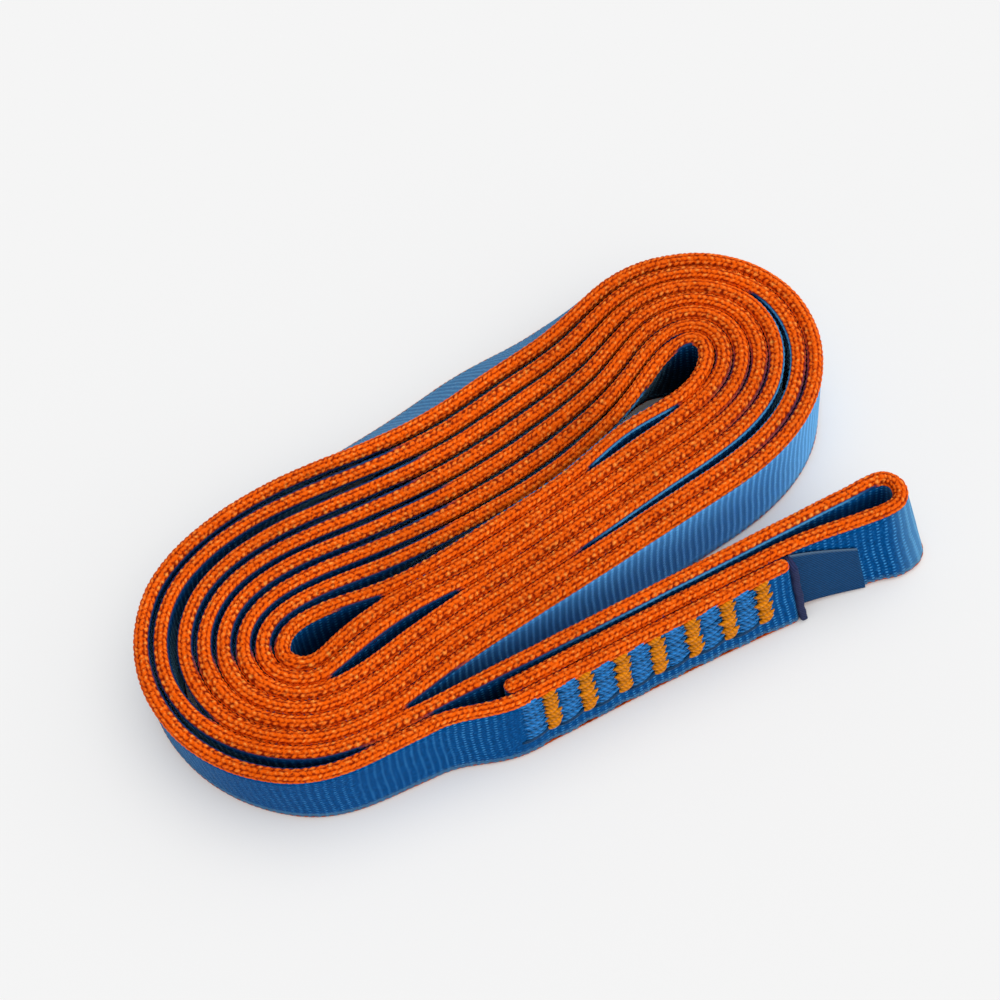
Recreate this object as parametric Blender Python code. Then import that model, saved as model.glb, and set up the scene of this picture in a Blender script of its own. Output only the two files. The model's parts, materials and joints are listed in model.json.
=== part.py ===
"""A climbing sling of flat tubular webbing, stowed: wound double as an oblong coil, its sewn end left free.

Lengths are metres and angles radians. The webbing stands on its edge on the plane z = 0.
The coil is laid out on two eyes, left and right of the origin. A loop is followed by a clock that runs
from 0 to 1: round the left eye, along the back, round the right eye and along the front.
"""

import math

import bpy
import numpy as np

# Webbing
TAPE_WIDTH = 0.016
TAPE_THICKNESS = 0.00175
LAYER_GAP = 0.00057
EDGE_RADIUS = 0.00085
FLAT_DEPTH = 0.0005
FLAT_EDGE_share = 0.86
EDGE_POINTS = 5
SMOOTH_ANGLE = math.radians(40)

# Coil: its two eyes and the layers wound on them
EYE_SPACING = 0.063
LOOP_STATIONS = 24
LEFT_LEVELS = 8
LEFT_EYE_REACH = 0.0061
LEFT_EYE_HALF_WIDTH = 0.0036
LEFT_EYE_TURN = math.radians(180)
RIGHT_EYE_REACH = 0.0047
RIGHT_EYE_HALF_WIDTH = 0.00275
RIGHT_EYE_TURN = math.radians(25)
RIGHT_EYE_RISE = 0.0006
WAIST_DEPTH = 0.0047
WAIST_PLACE_share = 0.56
FRONT_SAG = 0.00045
EYE_TONGUE = 0.0095
CROSSING_RISE = 0.00075
CROSSING_STEP_share = 1 / 6

# Looser and tighter places: how far the layers open or close there, and where on the clock
BACK_SPREAD = 0.00005
BACK_SPREAD_PLACE_share = 8.8 / 24
BACK_SPREAD_REACH_share = 4 / 24
FAN_SPREAD = 0.0005
FAN_SPREAD_PLACE_share = 7.3 / 24
FAN_SPREAD_REACH_share = 1.7 / 24
SHOULDER_SPREAD = 0.0004
SHOULDER_SPREAD_PLACE_share = 5.2 / 24
SHOULDER_SPREAD_REACH_share = 2.8 / 24
HEEL_SPREAD = 0.00015
HEEL_SPREAD_PLACE_share = 17.2 / 24
HEEL_SPREAD_REACH_share = 4 / 24
RIGHT_SPREAD = -0.00012
RIGHT_SPREAD_PLACE_share = 13 / 24
RIGHT_SPREAD_REACH_share = 3 / 24
FRONT_SPREAD = -0.00008
FRONT_SPREAD_PLACE_share = 21 / 24
FRONT_SPREAD_REACH_share = 3.6 / 24
LEFT_SPREAD = -0.0002
LEFT_SPREAD_PLACE_share = 1.5 / 24
LEFT_SPREAD_REACH_share = 2.2 / 24
CRESCENT_GAP = 0.0006
CRESCENT_LEVEL = 6
CRESCENT_PLACE_share = 5 / 24
CRESCENT_REACH_share = 4 / 24
RIGHT_GAP = 0.0005
RIGHT_GAP_LEVEL = 5
RIGHT_GAP_PLACE_share = 18 / 24
RIGHT_GAP_REACH_share = 5 / 24
OPEN_GAP = 0.0010
OPEN_LEVEL = 7
OPEN_PLACE_share = 1.7 / 24
OPEN_REACH_share = 2.4 / 24
HEAD_GAP = -0.0012
HEAD_LEVELS = 2
HEAD_PLACE_share = 23.4 / 24
HEAD_REACH_share = 1.5 / 24
FRONT_GAP = -0.0005
FRONT_PLACE_share = 22.8 / 24
FRONT_REACH_share = 2 / 24
BACK_GAP = -0.0014
BACK_PLACE_share = 7.2 / 24
BACK_REACH_share = 2.3 / 24

# Lean of the webbing: the top edge is drawn in along the back, and out round the left eye
BACK_LEAN = math.radians(37)
BACK_LEAN_PLACE_share = 9.5 / 24
BACK_LEAN_INNER_REACH_share = 3.3 / 24
BACK_LEAN_OUTER_REACH_share = 6.4 / 24
LEFT_LEAN = math.radians(-5)
LEFT_LEAN_PLACE_share = 2.2 / 24
LEFT_LEAN_REACH_share = 3 / 24

# Free sewn end: the return layer is a straight line from the left eye, the others lie beside it
TAIL_ANGLE = math.radians(-10.4)
COIL_END = 0.0040
JOIN_GAP = 0.0003
TAIL_STEP = 0.0035
TAIL_UPRIGHT_LENGTH = 0.012
SPLICE_LEAN = math.radians(2.2)
SPLICE_LEAN_START = 0.030
LOOP_LEAN = math.radians(9.3)
SPLICE_SLANT = math.radians(6)
RETURN_GAP = 0.0009
PLY_GAP = 0.00045
CUT_END_B = 0.0140
FRONT_MERGE_END = 0.0153
CUT_END_A = 0.0555
LOOP_WIDEN_START = 0.056
LOOP_RADIUS = 0.0021
LOOP_CENTRE = 0.0721
LOOP_END_POINTS = 7
LOOP_FLARE_share = 0.6

# Bar tacks
TACK_COUNT = 7
FIRST_TACK = 0.0189
TACK_PITCH = 0.0053
TACK_LENGTH = 0.0021
TACK_THICKNESS = 0.00045
BACK_PAD_THICKNESS = 0.0002
TACK_TOP_share = 0.95
TACK_BOTTOM_share = 0.30
TACK_TEETH = 9
TACK_TOOTH = 0.00035
THREAD_CLEARANCE = 0.0003
RUNG_LENGTH = 0.0009
RUNG_HEIGHT = 0.0009
RUNG_PLACE_shares = (0.16, 0.84)
BLUE_TACK_LENGTH = 0.0014

# Label, folded round cut end A and laid on the ply behind it
LABEL_THICKNESS = 0.0004
LABEL_CLEARANCE = 0.0003
LABEL_END = 0.0655
LABEL_FOLD_LENGTH = 0.0010
LABEL_TOP_LEFT_share = 0.95
LABEL_BOTTOM_LEFT_share = 0.05
LABEL_TOP_RIGHT_share = 0.66
LABEL_BOTTOM_RIGHT_share = 0.02

# Colours
BLUE = (0.035, 0.13, 0.33, 1)
ORANGE = (0.62, 0.085, 0.008, 1)
TACK_ORANGE = (0.65, 0.19, 0.01, 1)
THREAD_BLUE = (0.08, 0.24, 0.5, 1)
NAVY = (0.008, 0.03, 0.09, 1)
CLOTH_ROUGHNESS = 0.85
THREAD_ROUGHNESS = 0.6

LAYER = TAPE_THICKNESS + LAYER_GAP
WAIST_POWER_share = math.log(1 / 2) / math.log(WAIST_PLACE_share)
NEIGHBOUR_LENGTH = 3 * LAYER
UP = np.array([0.0, 0.0, 1.0])


def clear_scene():
    for item in list(bpy.data.objects):
        bpy.data.objects.remove(item)


def finish(name, colour, roughness):
    material = bpy.data.materials.new(name)
    material.use_nodes = True
    shader = material.node_tree.nodes["Principled BSDF"]
    shader.inputs["Base Color"].default_value = colour
    shader.inputs["Roughness"].default_value = roughness
    return material


def hill(distance, reach):
    """A smooth hill of height 1 at distance 0 that ends at reach."""
    return math.cos(math.pi / 2 * min(abs(distance) / reach, 1)) ** 2


def clock_hill(clock, place, reach):
    return hill((clock - place + 1 / 2) % 1 - 1 / 2, reach)


def ease(share):
    """A smooth step from 0 to 1."""
    share = min(max(share, 0), 1)
    return share * share * (3 - 2 * share)


def lean_at(level, clock):
    """The lean of a layer. The inner layers stand up again before they reach an eye."""
    reach = BACK_LEAN_INNER_REACH_share
    reach += (BACK_LEAN_OUTER_REACH_share - reach) * level / (LEFT_LEVELS - 1)
    back = BACK_LEAN * clock_hill(clock, BACK_LEAN_PLACE_share, reach)
    left = LEFT_LEAN * clock_hill(clock, LEFT_LEAN_PLACE_share, LEFT_LEAN_REACH_share)
    return back + left


def spread_at(clock):
    """The extra room that each layer has where the winding is loose, or has less where it is tight."""
    hills = (
        (BACK_SPREAD, BACK_SPREAD_PLACE_share, BACK_SPREAD_REACH_share),
        (FAN_SPREAD, FAN_SPREAD_PLACE_share, FAN_SPREAD_REACH_share),
        (SHOULDER_SPREAD, SHOULDER_SPREAD_PLACE_share, SHOULDER_SPREAD_REACH_share),
        (HEEL_SPREAD, HEEL_SPREAD_PLACE_share, HEEL_SPREAD_REACH_share),
        (RIGHT_SPREAD, RIGHT_SPREAD_PLACE_share, RIGHT_SPREAD_REACH_share),
        (FRONT_SPREAD, FRONT_SPREAD_PLACE_share, FRONT_SPREAD_REACH_share),
        (LEFT_SPREAD, LEFT_SPREAD_PLACE_share, LEFT_SPREAD_REACH_share),
    )
    return sum(spread * clock_hill(clock, place, reach) for spread, place, reach in hills)


def stack(level, clock, inner=0):
    """The distance of a layer from the one so many levels inside it: a leaning layer takes more room."""
    rooms = [LAYER / math.cos(lean_at(inner + n + 1, clock)) for n in range(level)]
    return sum(rooms) + level * spread_at(clock)


def gaps_inside(left_level, right_level, clock):
    """The extra gaps that lie inside a layer, where the winding is loose. Some are less than nothing."""
    total = BACK_GAP * clock_hill(clock, BACK_PLACE_share, BACK_REACH_share)
    total += FRONT_GAP * clock_hill(clock, FRONT_PLACE_share, FRONT_REACH_share)
    if left_level < HEAD_LEVELS:
        total += HEAD_GAP * clock_hill(clock, HEAD_PLACE_share, HEAD_REACH_share)
    if left_level >= CRESCENT_LEVEL:
        total += CRESCENT_GAP * clock_hill(clock, CRESCENT_PLACE_share, CRESCENT_REACH_share)
    if left_level >= OPEN_LEVEL:
        total += OPEN_GAP * clock_hill(clock, OPEN_PLACE_share, OPEN_REACH_share)
    if right_level >= RIGHT_GAP_LEVEL:
        total += RIGHT_GAP * clock_hill(clock, RIGHT_GAP_PLACE_share, RIGHT_GAP_REACH_share)
    return total


def ray(angle):
    return np.array([math.cos(angle), math.sin(angle), 0])


def eye_point(reach, half_width, turn, angle):
    """The point of an ellipse, its long axis turned, whose outward direction is the angle."""
    along = math.atan2(half_width * math.sin(angle - turn), reach * math.cos(angle - turn))
    side = ray(turn + math.pi / 2) * half_width * math.sin(along)
    return ray(turn) * reach * math.cos(along) + side


def drop(outward, lean):
    """How far the foot of the webbing lies from the point below its top edge."""
    return outward * TAPE_WIDTH * math.sin(lean)


def left_line(level, clock):
    """A point of a parallel curve of the left eye's ellipse, without the extra gaps, and its direction out."""
    angle = math.pi * (3 / 2 - clock * 4)
    eye = eye_point(LEFT_EYE_REACH, LEFT_EYE_HALF_WIDTH, LEFT_EYE_TURN, angle)
    return eye + ray(angle) * stack(level, clock) - ray(0) * EYE_SPACING / 2, ray(angle)


def left_cap(level, clock):
    """A layer's place round the left eye, for a clock from 0 to 1/4."""
    point, outward = left_line(level, clock)
    gap = gaps_inside(level, 0, clock)
    return point + outward * gap, drop(outward, lean_at(level, clock))


def right_cap(level, clock):
    """A layer's place round the right eye, for a clock from 1/2 to 3/4."""
    angle = math.pi * (1 / 2 - (clock - 1 / 2) * 4)
    eye = eye_point(RIGHT_EYE_REACH, RIGHT_EYE_HALF_WIDTH, RIGHT_EYE_TURN, angle)
    out = stack(level, clock) + gaps_inside(0, level, clock)
    centre = ray(0) * EYE_SPACING / 2 + ray(math.pi / 2) * RIGHT_EYE_RISE
    return centre + eye + ray(angle) * out, drop(ray(angle), lean_at(level, clock))


def between(start, end, share):
    """A point on the smooth step that leads from one place to the other."""
    x = start[0][0] + (end[0][0] - start[0][0]) * share
    y = start[0][1] + (end[0][1] - start[0][1]) * ease(share)
    return np.array([x, y, 0])


def back_side(level, clock):
    """A layer's place along the back, from the left eye's level + 1 to the right eye's level."""
    share = (clock - 1 / 4) * 4
    line = between(left_line(1, 1 / 4), right_cap(0, 1 / 2), share)
    out = stack(level, clock, 1 - share) + gaps_inside(level + 1, level, clock)
    out -= WAIST_DEPTH * math.sin(math.pi * share ** WAIST_POWER_share)
    lean = lean_at(level + 1 - share, clock)
    return line + ray(math.pi / 2) * out, drop(ray(math.pi / 2), lean)


def front_side(level, clock):
    """A layer's place along the front, from the right eye's level + 1 to the left eye's level."""
    share = (clock - 3 / 4) * 4
    line = between(right_cap(1, 3 / 4), left_line(0, 0), share)
    out = stack(level, clock, 1 - share) + gaps_inside(level, level + 1, clock)
    out += FRONT_SAG * math.sin(math.pi * share)
    lean = lean_at(level + 1 - share, clock)
    return line - ray(math.pi / 2) * out, drop(ray(-math.pi / 2), lean)


def crossing(share):
    """A place on the layer that runs from the right eye's front to the left eye's back."""
    beside = front_side(0, 3 / 4 + share / 4)[0]
    lift = left_cap(0, 1 / 4)[0][1] - left_cap(0, 0)[0][1] - LAYER
    rise = hill((1 - share) * EYE_SPACING, EYE_TONGUE)
    out = LAYER + lift * rise
    out += CROSSING_RISE * hill(share - CROSSING_STEP_share, CROSSING_STEP_share)
    point = beside + ray(math.pi / 2) * out
    return point, drop(ray(math.pi / 2), lean_at(0, 1 / 4) * rise)


def clocks(start, end):
    """The stations of one quarter of a loop, without its last."""
    count = LOOP_STATIONS // 4
    return [start + (end - start) * n / count for n in range(count)]


def stretch(place, level, start, end):
    """Places along one quarter of a loop: the point below the top edge, and the foot's drop from it."""
    return [place(level, clock) for clock in clocks(start, end)]


def inward_laps():
    """From the left eye's outermost level to the back of the right eye, winding inwards."""
    route = []
    for level in range(LEFT_LEVELS - 1, 0, -2):
        route += stretch(left_cap, level, 0, 1 / 4)
        route += stretch(back_side, level - 1, 1 / 4, 1 / 2)
        route += stretch(right_cap, level - 1, 1 / 2, 3 / 4)
        if level > 1:
            route += stretch(front_side, level - 2, 3 / 4, 1)
    return route


def outward_laps():
    """From the crossing to the left eye's last level but one, winding outwards."""
    shares = clocks(0, 1)
    route = [crossing(share) for share in shares]
    for level in range(0, LEFT_LEVELS - 2, 2):
        route += stretch(left_cap, level, 1 / 4, 0)
        route += stretch(front_side, level, 1, 3 / 4)
        route += stretch(right_cap, level + 1, 3 / 4, 1 / 2)
        route += stretch(back_side, level + 1, 1 / 2, 1 / 4)
    return route + stretch(left_cap, LEFT_LEVELS - 2, 1 / 4, 0)


def tail_frame():
    """Start, direction and outward direction of the free sewn end."""
    start, _ = left_cap(LEFT_LEVELS - 2, 0)
    return start, ray(TAIL_ANGLE), ray(TAIL_ANGLE - math.pi / 2)


def tail_point(along, out):
    start, forward, outward = tail_frame()
    return start + forward * along + outward * out


def inner_ply():
    """Distance of the ply behind the front layer from the return layer."""
    return TAPE_THICKNESS + RETURN_GAP


def outer_ply():
    return inner_ply() + TAPE_THICKNESS + PLY_GAP


def front_out(along):
    """Distance of the front layer from the return layer: it opens to take in the ply between them."""
    beside = left_cap(LEFT_LEVELS - 2, 0)[0][1] - left_cap(LEFT_LEVELS - 1, 0)[0][1]
    share = (along - COIL_END) / (FRONT_MERGE_END - COIL_END)
    return beside + (outer_ply() - beside) * ease(share)


def loop_out(along):
    """Distance of the inner ply from the return layer, which widens into the end loop."""
    share = (along - LOOP_WIDEN_START) / (LOOP_CENTRE - LOOP_WIDEN_START)
    return inner_ply() + (2 * LOOP_RADIUS - inner_ply()) * ease(share)


def return_drop(along):
    """The return layer takes over the coil's lean and soon stands upright."""
    _, _, outward = tail_frame()
    return drop(outward, lean_at(0, 0) * (1 - ease(along / TAIL_UPRIGHT_LENGTH)))


def splice_drop(along):
    """The sewn plies lean out, and slant forward, more and more towards the end loop."""
    _, forward, outward = tail_frame()
    share = max(along - SPLICE_LEAN_START, 0) / (LOOP_CENTRE - SPLICE_LEAN_START)
    slant = forward * TAPE_WIDTH * math.sin(SPLICE_SLANT) * ease(along / LOOP_CENTRE)
    lean = SPLICE_LEAN * ease(along / TAIL_UPRIGHT_LENGTH) + LOOP_LEAN * share ** 2
    return return_drop(along) + drop(outward, lean) + slant


def steps(start, end):
    """Places from start to end, at most one tail step apart, both ends included."""
    count = max(1, math.ceil(abs(end - start) / TAIL_STEP))
    return [start + (end - start) * n / count for n in range(count + 1)]


def front_places(places):
    return [(tail_point(along, front_out(along)), splice_drop(along)) for along in places]


def return_places(places):
    return [(tail_point(along, 0), return_drop(along)) for along in places]


def coil_route():
    """The coil, with a short straight run of each tail so that its ends meet the tails squarely."""
    front = front_places([COIL_END, COIL_END / 2])
    back = return_places([0, COIL_END / 2, COIL_END])
    return front + inward_laps() + outward_laps() + back


def front_route():
    return front_places(steps(COIL_END + JOIN_GAP, CUT_END_A))


def end_loop_places():
    """The half round of the end loop, from the return layer to the inner ply, flared at its foot."""
    _, forward, outward = tail_frame()
    centre = tail_point(LOOP_CENTRE, LOOP_RADIUS)
    places = []
    for n in range(1, LOOP_END_POINTS):
        turn = math.pi * n / LOOP_END_POINTS
        direction = forward * math.sin(turn) - outward * math.cos(turn)
        flare = drop(forward, LOOP_LEAN) * ease(turn / math.pi * 2) * math.sin(turn)
        foot = splice_drop(LOOP_CENTRE) * ease(turn / math.pi)
        places.append((centre + direction * LOOP_RADIUS, foot + flare * LOOP_FLARE_share))
    return places


def loop_route():
    out = return_places(steps(COIL_END + JOIN_GAP, LOOP_CENTRE))
    places = steps(LOOP_CENTRE, CUT_END_B)
    back = [(tail_point(along, loop_out(along)), splice_drop(along)) for along in places]
    return out + end_loop_places() + back


def height_line(fall):
    """The unit vector that runs up the webbing, from its foot to its top edge."""
    rise = UP * math.sqrt(TAPE_WIDTH ** 2 - fall @ fall) - fall
    return rise / TAPE_WIDTH


def middle_line(route):
    """The line halfway up the webbing, as an array of points."""
    return np.array([point + fall + height_line(fall) * TAPE_WIDTH / 2 for point, fall in route])


def tangents(points):
    ahead = np.roll(points, -1, axis=0) - points
    ahead[-1] = ahead[-2]
    behind = np.roll(ahead, 1, axis=0)
    behind[0] = ahead[0]
    ahead /= np.linalg.norm(ahead, axis=1)[:, None]
    behind /= np.linalg.norm(behind, axis=1)[:, None]
    both = ahead + behind
    return both / np.linalg.norm(both, axis=1)[:, None]


def section(place, tangent):
    """The webbing's outline at one place: a round top edge and a flat foot that lies on the ground."""
    point, fall = place
    rise = height_line(fall)
    across = np.cross(rise, tangent)
    across /= np.linalg.norm(across)
    half = TAPE_THICKNESS / 2
    turns = [math.pi * n / (EDGE_POINTS - 1) for n in range(EDGE_POINTS)]
    top = TAPE_WIDTH - EDGE_RADIUS
    outline = [(top + EDGE_RADIUS * math.sin(turn), -half * math.cos(turn)) for turn in turns]
    foot = half * FLAT_EDGE_share
    for up, side in ((FLAT_DEPTH, half), (0, foot), (0, -foot), (FLAT_DEPTH, -half)):
        outline.append(((up - across[2] * side) / rise[2], side))
    return [point + fall + rise * height + across * side for height, side in outline]


def rings_along(route):
    directions = tangents(middle_line(route))
    return [section(place, tangent) for place, tangent in zip(route, directions)]


def new_object(name, points, faces, *materials):
    mesh = bpy.data.meshes.new(name)
    mesh.from_pydata([tuple(point) for point in points], [], faces)
    for material in materials:
        mesh.materials.append(material)
    item = bpy.data.objects.new(name, mesh)
    bpy.context.scene.collection.objects.link(item)
    return item


def tube(rings):
    """Points and faces of the closed skin over a row of rings."""
    size = len(rings[0])
    last = (len(rings) - 1) * size
    faces = []
    for near in range(0, last, size):
        for n in range(size):
            after = (n + 1) % size
            faces.append((near + n, near + size + n, near + size + after, near + after))
    faces.append(tuple(range(size)))
    faces.append(tuple(last + n for n in reversed(range(size))))
    return [point for ring in rings for point in ring], faces


def webbing(name, route, blue, orange):
    """A length of webbing: its outline carried along a route, orange along both edges."""
    rings = rings_along(route)
    size = len(rings[0])
    item = new_object(name, *tube(rings), blue, orange)
    for face in item.data.polygons:
        if len(face.vertices) < size and face.index % size not in (EDGE_POINTS - 1, size - 1):
            face.material_index = 1
    item.data.shade_smooth()
    item.data.set_sharp_from_angle(angle=SMOOTH_ANGLE)
    return item


def prism(outline, depth, place):
    """Points and faces of an outline given as (along, up), from depth[0] to depth[1] outward."""
    near, far = depth
    points = [place(along, near, up) for along, up in outline]
    points += [place(along, far, up) for along, up in outline]
    count = len(outline)
    faces = [(n, (n + 1) % count, count + (n + 1) % count, count + n) for n in range(count)]
    faces.append(tuple(reversed(range(count))))
    faces.append(tuple(range(count, 2 * count)))
    return points, faces


def splice_place(along, out, up):
    """A point of the splice: along the tail, outwards from the return layer, and up the webbing."""
    fall = splice_drop(along)
    return tail_point(along, out) + fall + height_line(fall) * up


def rectangle(start, end, low, high):
    return [(start, low), (end, low), (end, high), (start, high)]


def zigzag(start, end, low, high):
    """A rectangle whose two upright sides are cut as the teeth of a zigzag stitch."""
    count = 2 * TACK_TEETH
    heights = [low + (high - low) * n / count for n in range(count + 1)]
    right = [(end - TACK_TOOTH * (n % 2), up) for n, up in enumerate(heights)]
    left = [(start + TACK_TOOTH * (n % 2), up) for n, up in enumerate(heights)]
    return right + left[::-1]


def join_shapes(name, shapes, material):
    """One object of several overlapping closed shapes, united with Booleans."""
    body = new_object(name, *shapes[0], material)
    for n, shape in enumerate(shapes[1:]):
        part = new_object(f"{name}_part_{n}", *shape, material)
        hide_tool(part)
        union = body.modifiers.new(f"Union {n}", "BOOLEAN")
        union.operation = "UNION"
        union.object = part
    return body


def hide_tool(item):
    item.hide_render = True
    item.display_type = "WIRE"


def ply_faces():
    """Outward distances of the inner ply's back face and the front layer's outer face."""
    return inner_ply() - TAPE_THICKNESS / 2, outer_ply() + TAPE_THICKNESS / 2


def rung_heights():
    low = TAPE_WIDTH * TACK_BOTTOM_share
    high = TAPE_WIDTH * TACK_TOP_share
    return [low + (high - low) * share for share in RUNG_PLACE_shares]


def bar_tack(name, along, length, material):
    """A bar tack: a zigzag pad outside, a plain pad behind, and two rungs of thread through both plies."""
    back, front = ply_faces()
    low = TAPE_WIDTH * TACK_BOTTOM_share
    high = TAPE_WIDTH * TACK_TOP_share
    start, end = along - length / 2, along + length / 2
    outside = front + THREAD_CLEARANCE
    behind = back - THREAD_CLEARANCE
    pad = prism(zigzag(start, end, low, high), (outside, outside + TACK_THICKNESS), splice_place)
    plain = rectangle(start, end, low, high)
    shapes = [pad, prism(plain, (behind - BACK_PAD_THICKNESS, behind), splice_place)]
    for up in rung_heights():
        outline = rectangle(
            along - RUNG_LENGTH / 2,
            along + RUNG_LENGTH / 2,
            up - RUNG_HEIGHT / 2,
            up + RUNG_HEIGHT / 2,
        )
        depth = (behind - BACK_PAD_THICKNESS / 2, outside + TACK_THICKNESS / 2)
        shapes.append(prism(outline, depth, splice_place))
    return join_shapes(name, shapes, material)


def tack_places():
    """Name, place and length of each bar tack, orange and blue by turns."""
    places = []
    for n in range(TACK_COUNT):
        along = FIRST_TACK + n * TACK_PITCH
        places.append((f"blue_bar_tack_{n + 1}", along - TACK_PITCH / 2, BLUE_TACK_LENGTH))
        places.append((f"orange_bar_tack_{n + 1}", along, TACK_LENGTH))
    return places


def needle_holes():
    """One guide object with a clear hole for every rung of thread."""
    back, front = ply_faces()
    points, faces = [], []
    for _, along, _ in tack_places():
        for up in rung_heights():
            half_length = RUNG_LENGTH / 2 + THREAD_CLEARANCE
            half_height = RUNG_HEIGHT / 2 + THREAD_CLEARANCE
            outline = rectangle(
                along - half_length, along + half_length, up - half_height, up + half_height
            )
            hole = prism(outline, (back - TACK_THICKNESS, front + TACK_THICKNESS), splice_place)
            faces += [tuple(len(points) + n for n in face) for face in hole[1]]
            points += hole[0]
    guide = new_object("needle_holes", points, faces)
    hide_tool(guide)
    return guide


def pierce(item, guide):
    cut = item.modifiers.new("Needle holes", "BOOLEAN")
    cut.operation = "DIFFERENCE"
    cut.object = guide


def label_face(along):
    """Outward distance of the label's inner face, which lies on the inner ply and follows it."""
    return loop_out(along) + TAPE_THICKNESS / 2 + LABEL_CLEARANCE


def woven_label(material):
    """The label: one slanting leaf on the inner ply, and a fold that stands up past cut end A."""
    start = CUT_END_A + LABEL_CLEARANCE
    rings = []
    for along in steps(start, LABEL_END):
        share = (along - start) / (LABEL_END - start)
        low = LABEL_BOTTOM_LEFT_share + (LABEL_BOTTOM_RIGHT_share - LABEL_BOTTOM_LEFT_share) * share
        high = LABEL_TOP_LEFT_share + (LABEL_TOP_RIGHT_share - LABEL_TOP_LEFT_share) * share
        inner = label_face(along)
        outer = inner + LABEL_THICKNESS
        corners = ((inner, low), (outer, low), (outer, high), (inner, high))
        rings.append([splice_place(along, out, TAPE_WIDTH * up) for out, up in corners])
    leaf = tube(rings)
    low = TAPE_WIDTH * LABEL_BOTTOM_LEFT_share
    high = TAPE_WIDTH * LABEL_TOP_LEFT_share
    outline = rectangle(start, start + LABEL_FOLD_LENGTH, low, high)
    inner = label_face(start) + LABEL_THICKNESS / 2
    outer = outer_ply() + TAPE_THICKNESS / 2 + LABEL_THICKNESS
    return join_shapes("woven_label", [leaf, prism(outline, (inner, outer), splice_place)], material)


def stand_on_origin(items):
    """Moves everything so that the origin is the bottom centre of the whole sling's box."""
    bpy.context.view_layer.update()
    shown = [item for item in items if not item.hide_render]
    points = np.array([item.matrix_world @ v.co for item in shown for v in item.data.vertices])
    middle = (points.min(axis=0) + points.max(axis=0)) / 2
    for item in items:
        item.location -= type(item.location)((middle[0], middle[1], points[:, 2].min()))


def report_least_gap(name, route):
    """Prints the least clear gap of a wound length of webbing to itself, measured between its rings."""
    rings = np.array(rings_along(route))
    line = middle_line(route)
    lengths = np.concatenate([[0], np.cumsum(np.linalg.norm(np.diff(line, axis=0), axis=1))])
    least = math.inf
    for n, ring in enumerate(rings):
        away = np.abs(lengths - lengths[n]) > NEIGHBOUR_LENGTH
        both = away[:-1] & away[1:]
        least = min(least, ring_gap(ring, rings[:-1][both], rings[1:][both]))
    print(f"{name}: least gap to itself {least * 1000:.2f} mm, over {lengths[-1]:.3f} m")


def ring_gap(ring, starts, ends):
    """Least distance from a ring's points to the long edges between other rings."""
    run = ends - starts
    size = np.maximum((run * run).sum(axis=-1), np.finfo(float).tiny)
    least = math.inf
    for point in ring:
        share = np.clip(((point - starts) * run).sum(axis=-1) / size, 0, 1)
        nearest = starts + run * share[..., None]
        least = min(least, np.linalg.norm(nearest - point, axis=-1).min())
    return least


def build():
    clear_scene()
    blue = finish("Blue webbing", BLUE, CLOTH_ROUGHNESS)
    orange = finish("Orange knit edge", ORANGE, CLOTH_ROUGHNESS)
    orange_thread = finish("Orange thread", TACK_ORANGE, THREAD_ROUGHNESS)
    blue_thread = finish("Blue thread", THREAD_BLUE, THREAD_ROUGHNESS)
    navy = finish("Navy label", NAVY, CLOTH_ROUGHNESS)
    webbing("coil_webbing", coil_route(), blue, orange)
    guide = needle_holes()
    pierce(webbing("front_tail_webbing", front_route(), blue, orange), guide)
    pierce(webbing("loop_tail_webbing", loop_route(), blue, orange), guide)
    for name, along, length in tack_places():
        bar_tack(name, along, length, blue_thread if name.startswith("blue") else orange_thread)
    woven_label(navy)
    stand_on_origin(list(bpy.data.objects))
    report_least_gap("coil_webbing", coil_route())


build()
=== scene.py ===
"""A climbing sling of flat tubular webbing, stowed as an oblong coil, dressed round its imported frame.

The webbing's line is worked out as it was for the frame: the places of every loop come from the same sizes,
and a smooth curve runs through them. Lengths are metres and angles radians, +Z is up.
A place on the line is a row of four numbers: the point below the webbing's top edge, in x and y, and how far
its foot lies from there. A loop is followed by a clock from 0 to 1: round the left eye, along the back,
round the right eye and along the front.
"""

import json
import math

import bpy
import numpy as np
from bpy.props import FloatProperty, FloatVectorProperty, IntProperty, PointerProperty
from mathutils import Matrix, Vector


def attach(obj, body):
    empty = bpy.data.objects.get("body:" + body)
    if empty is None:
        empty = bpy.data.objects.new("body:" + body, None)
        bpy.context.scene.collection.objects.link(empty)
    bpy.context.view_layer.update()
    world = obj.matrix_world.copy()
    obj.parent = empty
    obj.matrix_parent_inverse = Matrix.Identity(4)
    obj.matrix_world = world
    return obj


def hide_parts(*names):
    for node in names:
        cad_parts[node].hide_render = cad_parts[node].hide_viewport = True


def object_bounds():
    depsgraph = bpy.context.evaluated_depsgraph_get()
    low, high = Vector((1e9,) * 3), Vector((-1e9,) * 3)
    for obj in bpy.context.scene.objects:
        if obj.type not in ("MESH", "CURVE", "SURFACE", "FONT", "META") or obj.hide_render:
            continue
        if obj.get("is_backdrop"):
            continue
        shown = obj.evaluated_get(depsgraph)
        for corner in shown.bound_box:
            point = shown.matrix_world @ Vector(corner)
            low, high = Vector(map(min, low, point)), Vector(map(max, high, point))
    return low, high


bl_info = {
    "name": "Stowed Webbing Sling",
    "version": (1, 0, 0),
    "blender": (4, 5, 0),
    "location": "3D View > Sidebar > Sling",
    "description": "Webbing with knitted edges, bar tacks, label and stage of a stowed sling",
    "category": "Object",
}

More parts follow.
